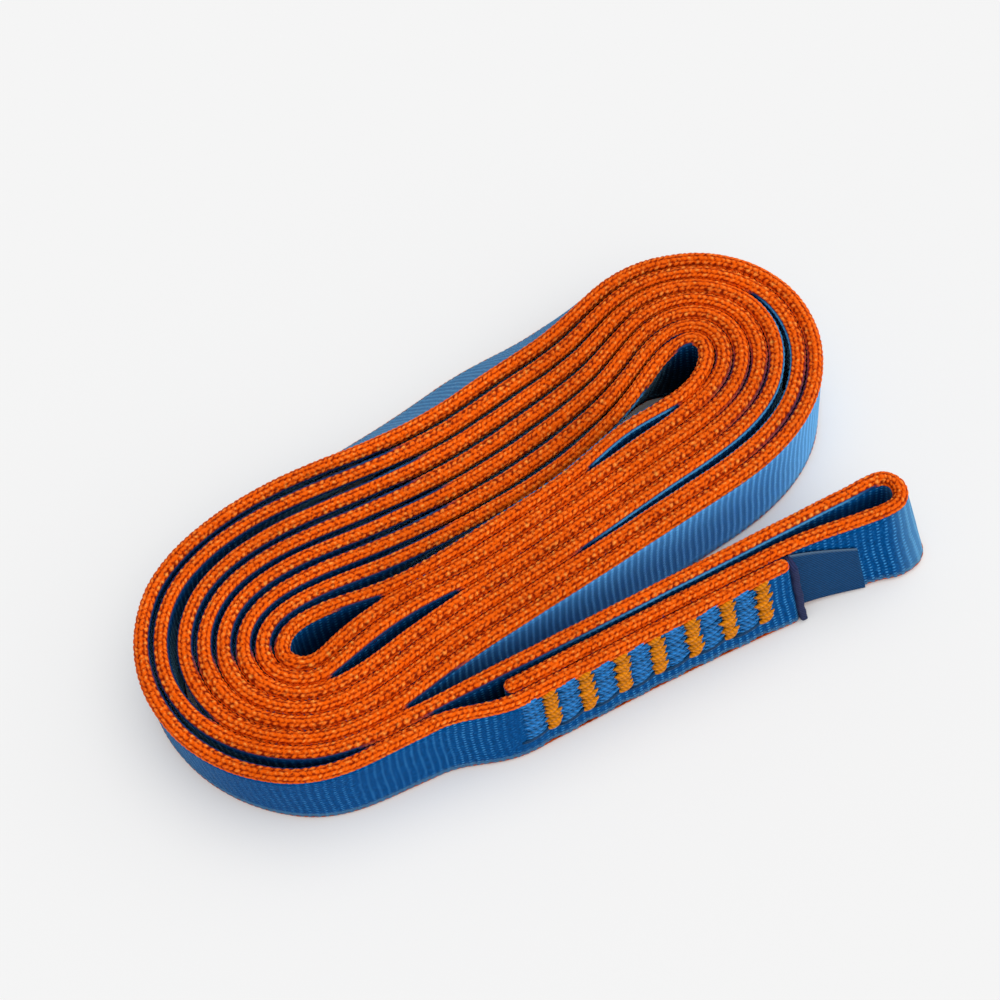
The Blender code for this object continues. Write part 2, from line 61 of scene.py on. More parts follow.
MM = 0.001
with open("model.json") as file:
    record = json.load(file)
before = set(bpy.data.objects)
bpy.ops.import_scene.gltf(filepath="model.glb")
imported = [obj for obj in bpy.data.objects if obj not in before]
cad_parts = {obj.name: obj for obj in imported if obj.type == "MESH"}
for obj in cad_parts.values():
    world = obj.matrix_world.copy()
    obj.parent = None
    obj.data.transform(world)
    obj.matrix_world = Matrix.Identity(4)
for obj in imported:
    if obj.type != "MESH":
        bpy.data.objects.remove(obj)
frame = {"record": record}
CAD_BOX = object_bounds()

# Webbing, as the frame has it, and the place of the frame's resting edge: a layer and two clocks
TAPE_WIDTH = 0.016
LAYER = 0.00232
CAD_THICKNESS = 0.00175
RESTING_LEVEL = 5
RESTING_CLOCKS = (20 / 24, 21 / 24)

# Coil: its two eyes and the layers wound on them
EYE_SPACING = 0.063
LOOP_STATIONS = 24
LEFT_LEVELS = 8
LEFT_EYE_REACH = 0.0061
LEFT_EYE_HALF_WIDTH = 0.0036
LEFT_EYE_TURN = math.radians(180)
RIGHT_EYE_REACH = 0.0047
RIGHT_EYE_HALF_WIDTH = 0.00275
RIGHT_EYE_TURN = math.radians(25)
RIGHT_EYE_RISE = 0.0006
WAIST_DEPTH = 0.0047
WAIST_PLACE = 0.56
WAIST_POWER = math.log(1 / 2) / math.log(WAIST_PLACE)
FRONT_SAG = 0.00045
EYE_TONGUE = 0.0095
CROSSING_RISE = 0.00075
CROSSING_STEP = 1 / 6

# Looser and tighter places: how far each layer moves out there, where on the clock, and how far that reaches.
# A spread opens every layer, and a gap only moves the layers from a level on.
BACK_SPREAD = (0.00005, 8.8 / 24, 4 / 24)
RIGHT_SPREAD = (-0.00012, 13 / 24, 3 / 24)
FRONT_SPREAD = (-0.00008, 21 / 24, 3.6 / 24)
LEFT_SPREAD = (-0.0002, 1.5 / 24, 2.2 / 24)
FAN_SPREAD = (0.0005, 7.3 / 24, 1.7 / 24)
SHOULDER_SPREAD = (0.0004, 5.2 / 24, 2.8 / 24)
HEEL_SPREAD = (0.00015, 17.2 / 24, 4 / 24)
CRESCENT_GAP = (0.0006, 5 / 24, 4 / 24)
CRESCENT_LEVEL = 6
RIGHT_GAP = (0.0005, 18 / 24, 5 / 24)
RIGHT_GAP_LEVEL = 5
OPEN_GAP = (0.0010, 1.7 / 24, 2.4 / 24)
OPEN_LEVEL = 7
HEAD_GAP = (-0.0012, 23.4 / 24, 1.5 / 24)
HEAD_LEVELS = 2
FRONT_GAP = (-0.0005, 22.8 / 24, 2 / 24)
BACK_GAP = (-0.0014, 7.2 / 24, 2.3 / 24)

# Lean of the webbing, as an angle, its place and its reach on the clock: the top edge is drawn in along the
# back, and out round the left eye
BACK_LEAN = math.radians(37)
BACK_LEAN_PLACE = 9.5 / 24
BACK_LEAN_INNER_REACH = 3.3 / 24
BACK_LEAN_OUTER_REACH = 6.4 / 24
LEFT_LEAN = (math.radians(-5), 2.2 / 24, 3 / 24)

# Free sewn end: the return layer is a straight line from the left eye, the others lie beside it
TAIL_ANGLE = math.radians(-10.4)
COIL_END = 0.0040
TAIL_STEP = 0.0035
TAIL_UPRIGHT_LENGTH = 0.012
SPLICE_LEAN = math.radians(2.2)
SPLICE_LEAN_START = 0.030
LOOP_LEAN = math.radians(9.3)
SPLICE_SLANT = math.radians(6)
INNER_PLY = CAD_THICKNESS + 0.0009
OUTER_PLY = INNER_PLY + CAD_THICKNESS + 0.00045
CUT_END_B = 0.0140
FRONT_MERGE_END = 0.0153
CUT_END_A = 0.0555
LOOP_WIDEN_START = 0.056
LOOP_RADIUS = 0.0021
LOOP_CENTRE = 0.0721
LOOP_END_POINTS = 7
LOOP_FLARE = 0.6

# Bar tacks: their places on the tail, and the throws of thread that each is sewn with. The last four sizes
# say how unlike the throws are: in place by turns, and at random in length, place and height.
TACK_COUNT = 7
FIRST_TACK = 0.0189
TACK_PITCH = 0.0053
TACK_TOP = 0.95
TACK_BOTTOM = 0.30
ORANGE_LENGTH = 0.0026
BLUE_LENGTH = 0.0036
LINK_LENGTH = 0.0050
TACK_SLANT = 0.22
THROW_POINTS = 11
THROW_SINK = 0.55
STITCH_SEED = 4
THREAD_SIDES = 8
THREAD_FLATNESS = 0.6
THREAD_TAPER = 0.85
THROW_STAGGER = 0.00016
LENGTH_DRAW = 0.07
PLACE_DRAW = 0.00008
HEIGHT_DRAW = 0.00006

# Label, folded round cut end A and laid on the ply behind it. Heights are shares of the webbing's width.
LABEL_END = 0.0655
LABEL_TOP_LEFT = 0.95
LABEL_BOTTOM_LEFT = 0.085
LABEL_TOP_RIGHT = 0.66
LABEL_BOTTOM_RIGHT = 0.03
LABEL_THICKNESS = 0.00016
LABEL_GAP = 0.0002
LABEL_ROWS = 60
LABEL_LEVELS = 40
SELVEDGE_START = 0.965
SELVEDGE_EASE = 0.02
FOLD_FOOT = 0.015
FOLD_HALF_WIDTH = 0.00055
FOLD_OVER = 0.00035
FOLD_ROUND = 0.0006
FOLD_ROWS = 50
FOLD_POINTS = 24

# Knitted edges. Places, reaches and pitches of the knit are in millimetres, the lengths of its stitch holes and
# of the yarns' bright tips in pitches. Each wave of the yarns' sway has a height, and turns along and per row.
BEAD_REACH = 105
TOP_POINTS = 19
FOOT_POINTS = 11
KNIT_ROW = 0.80
KNIT_PITCH = 0.86
KNIT_SLANT = 0.75
KNIT_DEPTH = 0.00020
YARN_SWAY = ((0.12, 1.7, 2.1), (0.10, 4.3, 1.0))
EDGE_SWAY = 0.02
PIT_PITCH = 1.15
PIT_PLACE = 1.0
PIT_REACH = 0.55
PIT_LENGTH = 0.42
TIP_LENGTH = 0.3
TIP_SHIFT = 0.2
FOOT_HEIGHT = 0.00065
FOOT_OVER = 0.00003
INNER_SIDES = (0.82, 0.0, -0.82)
INNER_DEPTHS = (0.30, 0.36, 0.30)

# Blue rim of a knitted edge: it starts so far down the flank (mm), where the room beside it is between two
# sizes, and grows from the coil's left to its right, which makes it paler there: painted light. Each pair is a
# start and how far the step takes.
RIM_GIRTH = (1.1, 0.2)
RIM_ROOM = (0.00242, 0.00020)
RIM_END = (0.0037, 0.0008)
RIM_START = (-0.020, 0.030)
RIM_LEAST = 0.2

# Woven faces, with the pitches of the weave in millimetres
FACE_FOOT = 0.0005
FACE_TOP = 0.0152
FACE_LEVELS = 9
RIB_PITCH = 1.08
RIB_DEPTH = 0.00007
RIB_SHIFT = 0.4
RIB_SWAY = 0.12
DASH_PITCH = 0.72
PINCH_DEPTH = 0.00016
PINCH_REACH = 0.42
CUT_ROUND = 0.0011
CUT_DEPTH = 0.96
LOWEST = 0.00002
FACE_LOWEST = 0.0003

# Painted light and shade on the weave, and where its ribs are smooth: places past a mark of the line, with
# their reach, and how strong each is
SMOOTH_CAP = (0.042, 0.050)
SMOOTH_TAIL = (-0.0105, 0.0055)
BRIGHT_FRONT = (0.212, 0.070)
RIGHT_BEND = (0.178, 0.042)
BACK_SLOPE = (0.108, 0.050)
LOOP_BEND = (0.0740, 0.0055)
RIB_LIGHT = 0.55
FRONT_LIGHT = 0.45
SMOOTH_LOSS = 0.42
FRONT_PALE = 0.60
BACK_PALE = 0.48
EYE_SHADE = (0.0, 0.140)
EYE_DARK = 1.12

# Room beside a layer: how it is sought, when a side counts as open to the light and loses its painted shade,
# and half widths of the edge that go with half the room
ROOM_STEP = 0.001
ROOM_SKIP = 0.008
ROOM_FAR = 0.020
ROOM_ASIDE = 0.6
ROOM_SMOOTH = 7
OPEN_NEAR = 0.0025
OPEN_FAR = 0.0052
HALF_ROOMS = (0.00105, 0.00121, 0.00140)
HALF_WIDTHS = (0.00105, 0.00121, 0.00112)

# Colours that no setting holds: the painted sheen's pale blue, the label's selvedge and its fold
PAINTED_SHEEN_BLUE = (0.12, 0.35, 0.61, 1.0)
SELVEDGE_COLOUR = (0.10, 0.16, 0.24, 1.0)
FOLD_COLOUR = (0.018, 0.022, 0.07, 1.0)

# Stage: the floor's own glow falls off where a piece stands nearer than the reach
FLOOR_HALF_WIDTH = 3.0
GLOW_SHARE = 0.70
COVER_REACH = 0.012
COVER_SLOPE = 1.35
SUN_TOWARD = (0.4, -0.5, 1.0)
SUN_SPREAD = math.radians(100)

# Camera, as the photo was taken
CAMERA_TURN = math.radians(-31.138)
CAMERA_ELEVATION = math.radians(61)
CAMERA_ROLL = math.radians(-8)
CAMERA_DISTANCE = 0.35714
CAMERA_AIM = (0.003104, 0.007517, 0)
CAMERA_LENS = 90
CAMERA_SENSOR = 36


def hill(distance, reach):
    """A smooth hill of height 1 at distance 0 that ends at reach: a squared cosine."""
    return np.cos(math.pi / 2 * np.minimum(np.abs(distance) / reach, 1)) ** 2


def clock_hill(clock, height, place, reach):
    """A hill on the clock, which closes on itself after 1."""
    return height * hill((clock - place + 1 / 2) % 1 - 1 / 2, reach)


def ease(share):
    """A smooth step from 0 to 1: three times the share squared less twice its cube."""
    share = np.clip(share, 0, 1)
    return share * share * (3 - 2 * share)


def rising(value, start, reach):
    """A smooth step from 0 to 1 that starts at a value and takes so far."""
    return ease((value - start) / reach)


def lean_at(level, clock):
    """The lean of a layer. The inner layers stand up again before they reach an eye."""
    reach = BACK_LEAN_INNER_REACH
    reach = reach + (BACK_LEAN_OUTER_REACH - reach) * level / (LEFT_LEVELS - 1)
    return clock_hill(clock, BACK_LEAN, BACK_LEAN_PLACE, reach) + clock_hill(clock, *LEFT_LEAN)


def spread_at(clock):
    """The extra room that each layer has where the winding is loose."""
    hills = (BACK_SPREAD, SHOULDER_SPREAD, HEEL_SPREAD, RIGHT_SPREAD, FRONT_SPREAD, LEFT_SPREAD, FAN_SPREAD)
    return sum(clock_hill(clock, *place) for place in hills)


def stack(level, clock, inner=0):
    """The distance of a layer from the one so many levels inside it: a leaning layer takes more room."""
    layers = [LAYER / np.cos(lean_at(inner + n + 1, clock)) for n in range(level)]
    return np.zeros(np.shape(clock)) + sum(layers) + level * spread_at(clock)


def gaps_inside(left_level, right_level, clock):
    """The extra gaps that lie inside a layer, where the winding is loose."""
    total = clock_hill(clock, *BACK_GAP) + clock_hill(clock, *FRONT_GAP)
    if left_level < HEAD_LEVELS:
        total = total + clock_hill(clock, *HEAD_GAP)
    if left_level >= CRESCENT_LEVEL:
        total = total + clock_hill(clock, *CRESCENT_GAP)
    if left_level >= OPEN_LEVEL:
        total = total + clock_hill(clock, *OPEN_GAP)
    if right_level >= RIGHT_GAP_LEVEL:
        total = total + clock_hill(clock, *RIGHT_GAP)
    return total


def ray(angle):
    """Unit vectors in the ground plane: the angle's cosine and sine."""
    return np.stack([np.cos(angle), np.sin(angle)], axis=-1)


def eye_point(reach, half_width, turn, angle):
    """The point of a turned ellipse whose outward direction is the angle."""
    along = np.arctan2(half_width * np.sin(angle - turn), reach * np.cos(angle - turn))
    long_way = ray(turn) * reach * np.cos(along)[..., None]
    return long_way + ray(turn + math.pi / 2) * half_width * np.sin(along)[..., None]


def place_rows(point, outward, lean):
    """Rows of a point and of its foot's drop, which is the width times the sine of the lean, outward."""
    fall = outward * (TAPE_WIDTH * np.sin(lean))[..., None]
    return np.concatenate([point, fall], axis=-1)


def left_line(level, clock):
    """A parallel curve of the left eye's ellipse, without the extra gaps, and its outward directions."""
    angle = math.pi * (3 / 2 - clock * 4)
    eye = eye_point(LEFT_EYE_REACH, LEFT_EYE_HALF_WIDTH, LEFT_EYE_TURN, angle)
    return eye + ray(angle) * stack(level, clock)[..., None] - ray(0) * EYE_SPACING / 2, ray(angle)


def left_cap(level, clock):
    """A layer round the left eye, for a clock from 0 to 1/4."""
    line, outward = left_line(level, clock)
    gap = gaps_inside(level, 0, clock)
    return place_rows(line + outward * gap[..., None], outward, lean_at(level, clock))


def right_cap(level, clock):
    """A layer round the right eye, a parallel curve of the eye's ellipse, for a clock from 1/2 to 3/4."""
    angle = math.pi * (1 / 2 - (clock - 1 / 2) * 4)
    eye = eye_point(RIGHT_EYE_REACH, RIGHT_EYE_HALF_WIDTH, RIGHT_EYE_TURN, angle)
    out = stack(level, clock) + gaps_inside(0, level, clock)
    centre = ray(0) * EYE_SPACING / 2 + ray(math.pi / 2) * RIGHT_EYE_RISE
    return place_rows(centre + eye + ray(angle) * out[..., None], ray(angle), lean_at(level, clock))


def between(start, end, share):
    """The smooth step that leads from one place to the other: x runs evenly and y eases."""
    x = start[0] + (end[0] - start[0]) * share
    y = start[1] + (end[1] - start[1]) * ease(share)
    return np.stack([x, y], axis=-1)


def at(value):
    """A number, or a row of them, as an array."""
    return np.asarray(value, float)


def back_side(level, clock):
    """A layer along the back, from the left eye's level + 1 to the right eye's level, drawn in at its waist."""
    share = (clock - 1 / 4) * 4
    line = between(left_line(1, at(1 / 4))[0], right_cap(0, at(1 / 2)), share)
    out = stack(level, clock, 1 - share) + gaps_inside(level + 1, level, clock)
    out = out - WAIST_DEPTH * np.sin(math.pi * share**WAIST_POWER)
    upward = np.broadcast_to(ray(math.pi / 2), line.shape)
    return place_rows(line + upward * out[..., None], upward, lean_at(level + 1 - share, clock))


def front_side(level, clock):
    """A layer along the front, from the right eye's level + 1 to the left eye's level, with a little sag."""
    share = (clock - 3 / 4) * 4
    line = between(right_cap(1, at(3 / 4)), left_line(0, at(0))[0], share)
    out = stack(level, clock, 1 - share) + gaps_inside(level, level + 1, clock)
    out = out + FRONT_SAG * np.sin(math.pi * share)
    downward = np.broadcast_to(ray(-math.pi / 2), line.shape)
    return place_rows(line + downward * out[..., None], downward, lean_at(level + 1 - share, clock))


def crossing(share):
    """The layer that runs from the right eye's front to the left eye's back, one layer behind the front."""
    beside = front_side(0, 3 / 4 + share / 4)[..., :2]
    lift = left_cap(0, at(1 / 4))[1] - left_cap(0, at(0))[1] - LAYER
    rise = hill((1 - share) * EYE_SPACING, EYE_TONGUE)
    out = LAYER + lift * rise + CROSSING_RISE * hill(share - CROSSING_STEP, CROSSING_STEP)
    point = beside + ray(math.pi / 2) * out[..., None]
    return place_rows(point, np.broadcast_to(ray(math.pi / 2), point.shape), lean_at(0, 1 / 4) * rise)


def quarter(place, level, start, end):
    """The stations of one quarter of a loop, without its last."""
    count = LOOP_STATIONS // 4
    return place(level, start + (end - start) * np.arange(count) / count)


def inward_laps():
    """From the left eye's outermost level to the back of the right eye, winding inwards."""
    route = []
    for level in range(LEFT_LEVELS - 1, 0, -2):
        route.append(quarter(left_cap, level, 0, 1 / 4))
        route.append(quarter(back_side, level - 1, 1 / 4, 1 / 2))
        route.append(quarter(right_cap, level - 1, 1 / 2, 3 / 4))
        if level > 1:
            route.append(quarter(front_side, level - 2, 3 / 4, 1))
    return np.concatenate(route)


def outward_laps():
    """From the crossing to the left eye's last level but one, winding outwards."""
    count = LOOP_STATIONS // 4
    route = [crossing(np.arange(count) / count)]
    for level in range(0, LEFT_LEVELS - 2, 2):
        route.append(quarter(left_cap, level, 1 / 4, 0))
        route.append(quarter(front_side, level, 1, 3 / 4))
        route.append(quarter(right_cap, level + 1, 3 / 4, 1 / 2))
        route.append(quarter(back_side, level + 1, 1 / 2, 1 / 4))
    route.append(quarter(left_cap, LEFT_LEVELS - 2, 1 / 4, 0))
    return np.concatenate(route)


def tail_outward():
    """The direction from the return layer towards the sewn plies."""
    return ray(TAIL_ANGLE - math.pi / 2)


def tail_point(along, out):
    """A point of the free end: so far along its straight return layer, and so far outward from it."""
    start = left_cap(LEFT_LEVELS - 2, at(0))[:2]
    return start + ray(TAIL_ANGLE) * at(along)[..., None] + tail_outward() * at(out)[..., None]


def front_out(along):
    """Distance of the front layer from the return layer: it eases outward to take in the ply between them."""
    beside = left_cap(LEFT_LEVELS - 2, at(0))[1] - left_cap(LEFT_LEVELS - 1, at(0))[1]
    return beside + (OUTER_PLY - beside) * rising(along, COIL_END, FRONT_MERGE_END - COIL_END)


def loop_out(along):
    """Distance of the inner ply from the return layer, which eases out into the end loop."""
    share = rising(along, LOOP_WIDEN_START, LOOP_CENTRE - LOOP_WIDEN_START)
    return INNER_PLY + (2 * LOOP_RADIUS - INNER_PLY) * share


def return_drop(along):
    """The return layer takes over the coil's lean and soon stands upright."""
    lean = lean_at(0, at(0)) * (1 - ease(along / TAIL_UPRIGHT_LENGTH))
    return tail_outward() * (TAPE_WIDTH * np.sin(lean))[..., None]


def splice_drop(along):
    """The sewn plies lean out, and slant forward, more and more towards the end loop."""
    share = np.maximum(along - SPLICE_LEAN_START, 0) / (LOOP_CENTRE - SPLICE_LEAN_START)
    slant = TAPE_WIDTH * math.sin(SPLICE_SLANT) * ease(along / LOOP_CENTRE)
    lean = TAPE_WIDTH * np.sin(SPLICE_LEAN * ease(along / TAIL_UPRIGHT_LENGTH) + LOOP_LEAN * share**2)
    return return_drop(along) + tail_outward() * lean[..., None] + ray(TAIL_ANGLE) * slant[..., None]


def steps(start, end):
    """Places from start to end, at most one tail step apart."""
    count = max(1, math.ceil(abs(end - start) / TAIL_STEP))
    return start + (end - start) * np.arange(count + 1) / count


def tail_rows(along, out, drop):
    """Places of one layer of the free end, from functions of its distance outward and of its foot's drop."""
    along = at(along)
    return np.concatenate([tail_point(along, out(along)), drop(along)], axis=-1)


def end_loop_places():
    """The half round of the end loop, from the return layer to the inner ply, flared at its foot."""
    turn = math.pi * np.arange(1, LOOP_END_POINTS) / LOOP_END_POINTS
    forward = ray(TAIL_ANGLE)
    direction = forward * np.sin(turn)[:, None] - tail_outward() * np.cos(turn)[:, None]
    flare = TAPE_WIDTH * math.sin(LOOP_LEAN) * LOOP_FLARE * ease(turn / math.pi * 2) * np.sin(turn)
    foot = splice_drop(at(LOOP_CENTRE)) * ease(turn / math.pi)[:, None] + forward * flare[:, None]
    centre = tail_point(at(LOOP_CENTRE), at(LOOP_RADIUS))
    return np.concatenate([centre + direction * LOOP_RADIUS, foot], axis=-1)


def stations():
    """All stations, from cut end A along the front layer, through the coil and the end loop, to cut end B.
    Returned with the numbers of the stations at which the coil starts, turns outward and ends."""
    front = tail_rows(np.append(steps(CUT_END_A, COIL_END), COIL_END / 2), front_out, splice_drop)
    inward, outward = inward_laps(), outward_laps()
    back_steps = np.concatenate([[0, COIL_END / 2], steps(COIL_END, LOOP_CENTRE)])
    back = tail_rows(back_steps, np.zeros_like, return_drop)
    ply = tail_rows(steps(LOOP_CENTRE, CUT_END_B), loop_out, splice_drop)
    rows = np.concatenate([front, inward, outward, back, end_loop_places(), ply])
    coil_start = len(front) - 2
    turn = len(front) + len(inward)
    coil_end = turn + len(outward) + 2
    return rows, (coil_start, turn, coil_end)


def height_line(fall):
    """Unit vectors that run up the webbing, from its foot to its top edge."""
    up = np.sqrt(TAPE_WIDTH**2 - (fall**2).sum(axis=-1, keepdims=True))
    return np.concatenate([-fall, up], axis=-1) / TAPE_WIDTH


def foot_point(rows):
    """Points where the webbing's foot stands on the ground."""
    flat = rows[..., :2] + rows[..., 2:]
    return np.concatenate([flat, np.zeros(flat.shape[:-1] + (1,))], axis=-1)


def bends(knots, rows):
    """Second derivatives of the natural cubic spline: the usual band of equations, solved as a whole."""
    step = np.diff(knots)
    slope = np.diff(rows, axis=0) / step[:, None]
    count = len(knots)
    band = np.eye(count)
    inner = np.arange(1, count - 1)
    band[inner, inner - 1] = step[:-1]
    band[inner, inner] = 2 * (step[:-1] + step[1:])
    band[inner, inner + 1] = step[1:]
    right = np.zeros_like(rows)
    right[1:-1] = 6 * np.diff(slope, axis=0)
    return np.linalg.solve(band, right)


def spline(knots, rows, places):
    """The natural cubic spline through the rows at the knots, worked out at the places."""
    bend = bends(knots, rows)
    n = np.clip(np.searchsorted(knots, places) - 1, 0, len(knots) - 2)
    step = (knots[n + 1] - knots[n])[:, None]
    a = (knots[n + 1] - places)[:, None] / step
    b = 1 - a
    curve = (a**3 - a) * bend[n] + (b**3 - b) * bend[n + 1]
    return a * rows[n] + b * rows[n + 1] + curve * step**2 / 6


class Line:
    """The webbing's smooth line: a table of places at even steps of the length along its middle. Three marks on
    it are lengths: where the coil starts, where it turns outward, and where it ends."""

    FINE = 0.0001
    TANGENT_STEP = 0.0003

    def __init__(self):
        rows, marks = stations()
        knots = np.concatenate([[0], np.cumsum(np.linalg.norm(np.diff(rows[:, :2], axis=0), axis=1))])
        fine = np.linspace(0, knots[-1], int(knots[-1] / self.FINE))
        self.rows = spline(knots, rows, fine)
        self.middle = foot_point(self.rows) + height_line(self.rows[:, 2:]) * TAPE_WIDTH / 2
        steps_along = np.linalg.norm(np.diff(self.middle, axis=0), axis=1)
        self.length = np.concatenate([[0], np.cumsum(steps_along)])
        self.coil_start, self.turn, self.coil_end = np.interp(knots[list(marks)], fine, self.length)
        self.shift = self.frame_shift()

    def frame_shift(self):
        """The shift of the layout: the frame's resting edge is the mean of two feet on the front."""
        feet = [foot_point(front_side(RESTING_LEVEL, at(clock)))[:2] for clock in RESTING_CLOCKS]
        mount = frame["record"]["mounts"][0]["pos_m"]
        shift = np.zeros(3)
        shift[:2] = np.array(mount[:2]) - np.mean(feet, axis=0)
        return shift

    def pick(self, table, places):
        """A table's rows at places along the line."""
        return np.stack([np.interp(places, self.length, column) for column in table.T], axis=-1)

    def section_axes(self, places):
        """Foot points, unit vectors up the webbing and unit vectors across it, for places along the line."""
        rows = self.pick(self.rows, places)
        step = self.TANGENT_STEP
        tangent = self.pick(self.middle, places + step) - self.pick(self.middle, places - step)
        up = height_line(rows[:, 2:])
        across = np.cross(up, tangent)
        across /= np.linalg.norm(across, axis=1)[:, None]
        return foot_point(rows) + self.shift, up, across


LINE = Line()


def splice_place(along, out, up):
    """Points of the splice: along the tail, outward from the return layer, and up the leaning webbing."""
    along, out, up = np.broadcast_arrays(at(along), at(out), at(up))
    fall = splice_drop(along)
    foot = foot_point(np.concatenate([tail_point(along, out), fall], axis=-1))
    return foot + LINE.shift + height_line(fall) * up[..., None]


def knit_relief(along, girth):
    """Height of the knitted edge, 0 in a hole to 1 on a yarn, and the painted highlight on its yarns' backs,
    0 to 1. Rows of slanting yarns lie side by side as in a plait: a yarn's height is the root of one less its
    squared place across, times a cosine that falls to the row's borders. On one side lies a row of stitch
    holes, which are squared cosines in both directions. The painted highlight is a squared cosine on each
    yarn's back and on the tip between two holes."""
    row = np.floor(girth / KNIT_ROW + 1 / 2)
    side = girth / KNIT_ROW - row
    slant = np.where(row % 2 == 0, 1, -1) * KNIT_SLANT
    sway = sum(height * np.sin(along * onward + row * aside) for height, onward, aside in YARN_SWAY)
    place = 2 * ((along / KNIT_PITCH + slant * side + row / 2 + sway) % 1) - 1
    yarn = np.sqrt(np.maximum(1 - place**2, 0)) * (0.6 + 0.4 * np.cos(2 * math.pi * side))
    stitch = along / PIT_PITCH + 0.1 * np.sin(along * 0.9)
    pit = hill((stitch + 1 / 2) % 1 - 1 / 2, PIT_LENGTH) * hill(girth + PIT_PLACE, PIT_REACH)
    tip = hill(stitch % 1 - 1 / 2, TIP_LENGTH) * hill(girth + PIT_PLACE - TIP_SHIFT, PIT_REACH)
    light = np.maximum(hill(place - 0.1, 0.75) * hill(side, 0.42) * (1 - pit), tip)
    return yarn * (1 - pit), light


def rib_phase(along, up):
    """Number of the woven face's upright ribs up to a place along the tape. It sways a little with height."""
    bow = RIB_SWAY * np.sin(up / 2 + 0.6 * np.sin(along * 0.31))
    return along / RIB_PITCH + bow + RIB_SWAY / 3 * np.sin(up * 2 + along)


def hill_past(places, mark, hill_place):
    """A hill on the line, for a place past one of its marks and a reach."""
    return hill(places - mark - hill_place[0], hill_place[1])


def ribs_and_painted_light(places):
    """Strength of the ribs' light lines, which are painted highlights. Two soft hills take it down: round the
    outermost left cap and just before the first bar tack, where the weave is smooth. A third takes it up along
    the coil's front, where the material also makes the whole face brighter: painted light."""
    cap, tail, front = (hill_past(places, LINE.coil_start, n) for n in (SMOOTH_CAP, SMOOTH_TAIL, BRIGHT_FRONT))
    return RIB_LIGHT + FRONT_LIGHT * front - SMOOTH_LOSS * np.maximum(cap, tail)


def pale(places):
    """How strong the painted sheen is where the weave's fibres catch the light, 0 to 1: soft hills at the
    coil's right bend, on its back and its front, and at the loop's bend."""
    right, back, front = (hill_past(places, LINE.coil_start, n) for n in (RIGHT_BEND, BACK_SLOPE, BRIGHT_FRONT))
    loop = hill_past(places, LINE.coil_end, LOOP_BEND)
    return np.maximum.reduce([right, BACK_PALE * back, loop, FRONT_PALE * front])


def room_beside(share):
    """A table of places on the line and, for either side, the distance across to the nearest other layer, at a
    height that is a share of the webbing's width. It is smoothed over a few millimetres."""
    coarse = np.arange(0, LINE.length[-1], ROOM_STEP)
    foot, up, across = LINE.section_axes(coarse)
    points = foot + up * TAPE_WIDTH * share
    offset = points[None] - points[:, None]
    far = np.linalg.norm(offset, axis=-1)
    aside = (offset * across[:, None]).sum(axis=-1)
    own = np.abs(coarse[:, None] - coarse[None]) < ROOM_SKIP
    rooms = []
    for side in (1, -1):
        distance = np.where((aside * side > ROOM_ASIDE * far) & ~own, far, ROOM_FAR)
        nearest = distance.argmin(axis=1)
        room = np.abs(aside[np.arange(len(coarse)), nearest])
        room = np.where(distance.min(axis=1) < ROOM_FAR, room, ROOM_FAR)
        room = np.pad(np.minimum(room, OPEN_FAR), ROOM_SMOOTH // 2, mode="edge")
        rooms.append(np.convolve(room, np.ones(ROOM_SMOOTH) / ROOM_SMOOTH, mode="valid"))
    return coarse, rooms


def beside(table, places, sign):
    """The room beside places on the line, for points on one side (sign 1) or the other (sign -1)."""
    coarse, rooms = table
    first, second = (np.interp(places, coarse, room)[:, None] for room in rooms)
    return np.where(sign > 0, first, second)


def cut_round(places):
    """Narrows the webbing towards its two cut ends, as a quarter round: the root of one less a square."""
    ends = np.minimum(places, LINE.length[-1] - places)
    return np.sqrt(1 - CUT_DEPTH * np.clip(1 - ends / CUT_ROUND, 0, 1) ** 2)


def grid_faces(rows, columns):
    """Faces of a grid of rows and columns of points, whose last column is joined to its first."""
    near = np.arange(rows - 1)[:, None] * columns
    n = np.arange(columns)[None, :]
    after = (n + 1) % columns
    corners = (near + n, near + columns + n, near + columns + after, near + after)
    return np.stack(corners, axis=-1).reshape(-1, 4)


def new_mesh(name, points, faces, material, values=(), caps=()):
    """An object at the origin of numpy points and four-sided faces, smooth, with float attributes on its
    points. caps are whole rings of points closed with one flat face each, sharp at the ring."""
    mesh = bpy.data.meshes.new(name)
    loops = np.concatenate([faces.ravel()] + [np.asarray(cap) for cap in caps]).astype(np.int32)
    sizes = np.concatenate([np.full(len(faces), faces.shape[1]), [len(cap) for cap in caps]]).astype(np.int32)
    mesh.vertices.add(len(points))
    mesh.vertices.foreach_set("co", np.ascontiguousarray(points, np.float32).ravel())
    mesh.loops.add(len(loops))
    mesh.loops.foreach_set("vertex_index", loops)
    mesh.polygons.add(len(sizes))
    mesh.polygons.foreach_set("loop_start", np.concatenate([[0], np.cumsum(sizes)[:-1]]).astype(np.int32))
    smooth = np.ones(len(sizes), bool)
    smooth[len(faces):] = False
    mesh.polygons.foreach_set("use_smooth", smooth)
    mesh.update(calc_edges=True)
    if len(caps):
        ends = np.zeros(len(points), bool)
        ends[np.concatenate([np.asarray(cap) for cap in caps])] = True
        edges = np.empty(len(mesh.edges) * 2, np.int32)
        mesh.edges.foreach_get("vertices", edges)
        sharp = mesh.attributes.new("sharp_edge", "BOOLEAN", "EDGE")
        sharp.data.foreach_set("value", ends[edges].reshape(-1, 2).all(axis=1))
    for key, value in dict(values).items():
        layer = mesh.attributes.new(key, "FLOAT", "POINT")
        layer.data.foreach_set("value", np.ascontiguousarray(value, np.float32).ravel())
    mesh.validate()
    mesh.materials.append(material)
    item = bpy.data.objects.new(name, mesh)
    bpy.context.scene.collection.objects.link(item)
    return item


def skin(name, points, material, values):
    """A closed skin of rows of rings of points, with a flat face at either end."""
    rows, columns, _ = points.shape
    ring = np.arange(columns)
    caps = (ring, ring[::-1] + (rows - 1) * columns)
    return new_mesh(name, points.reshape(-1, 3), grid_faces(rows, columns), material, values, caps)


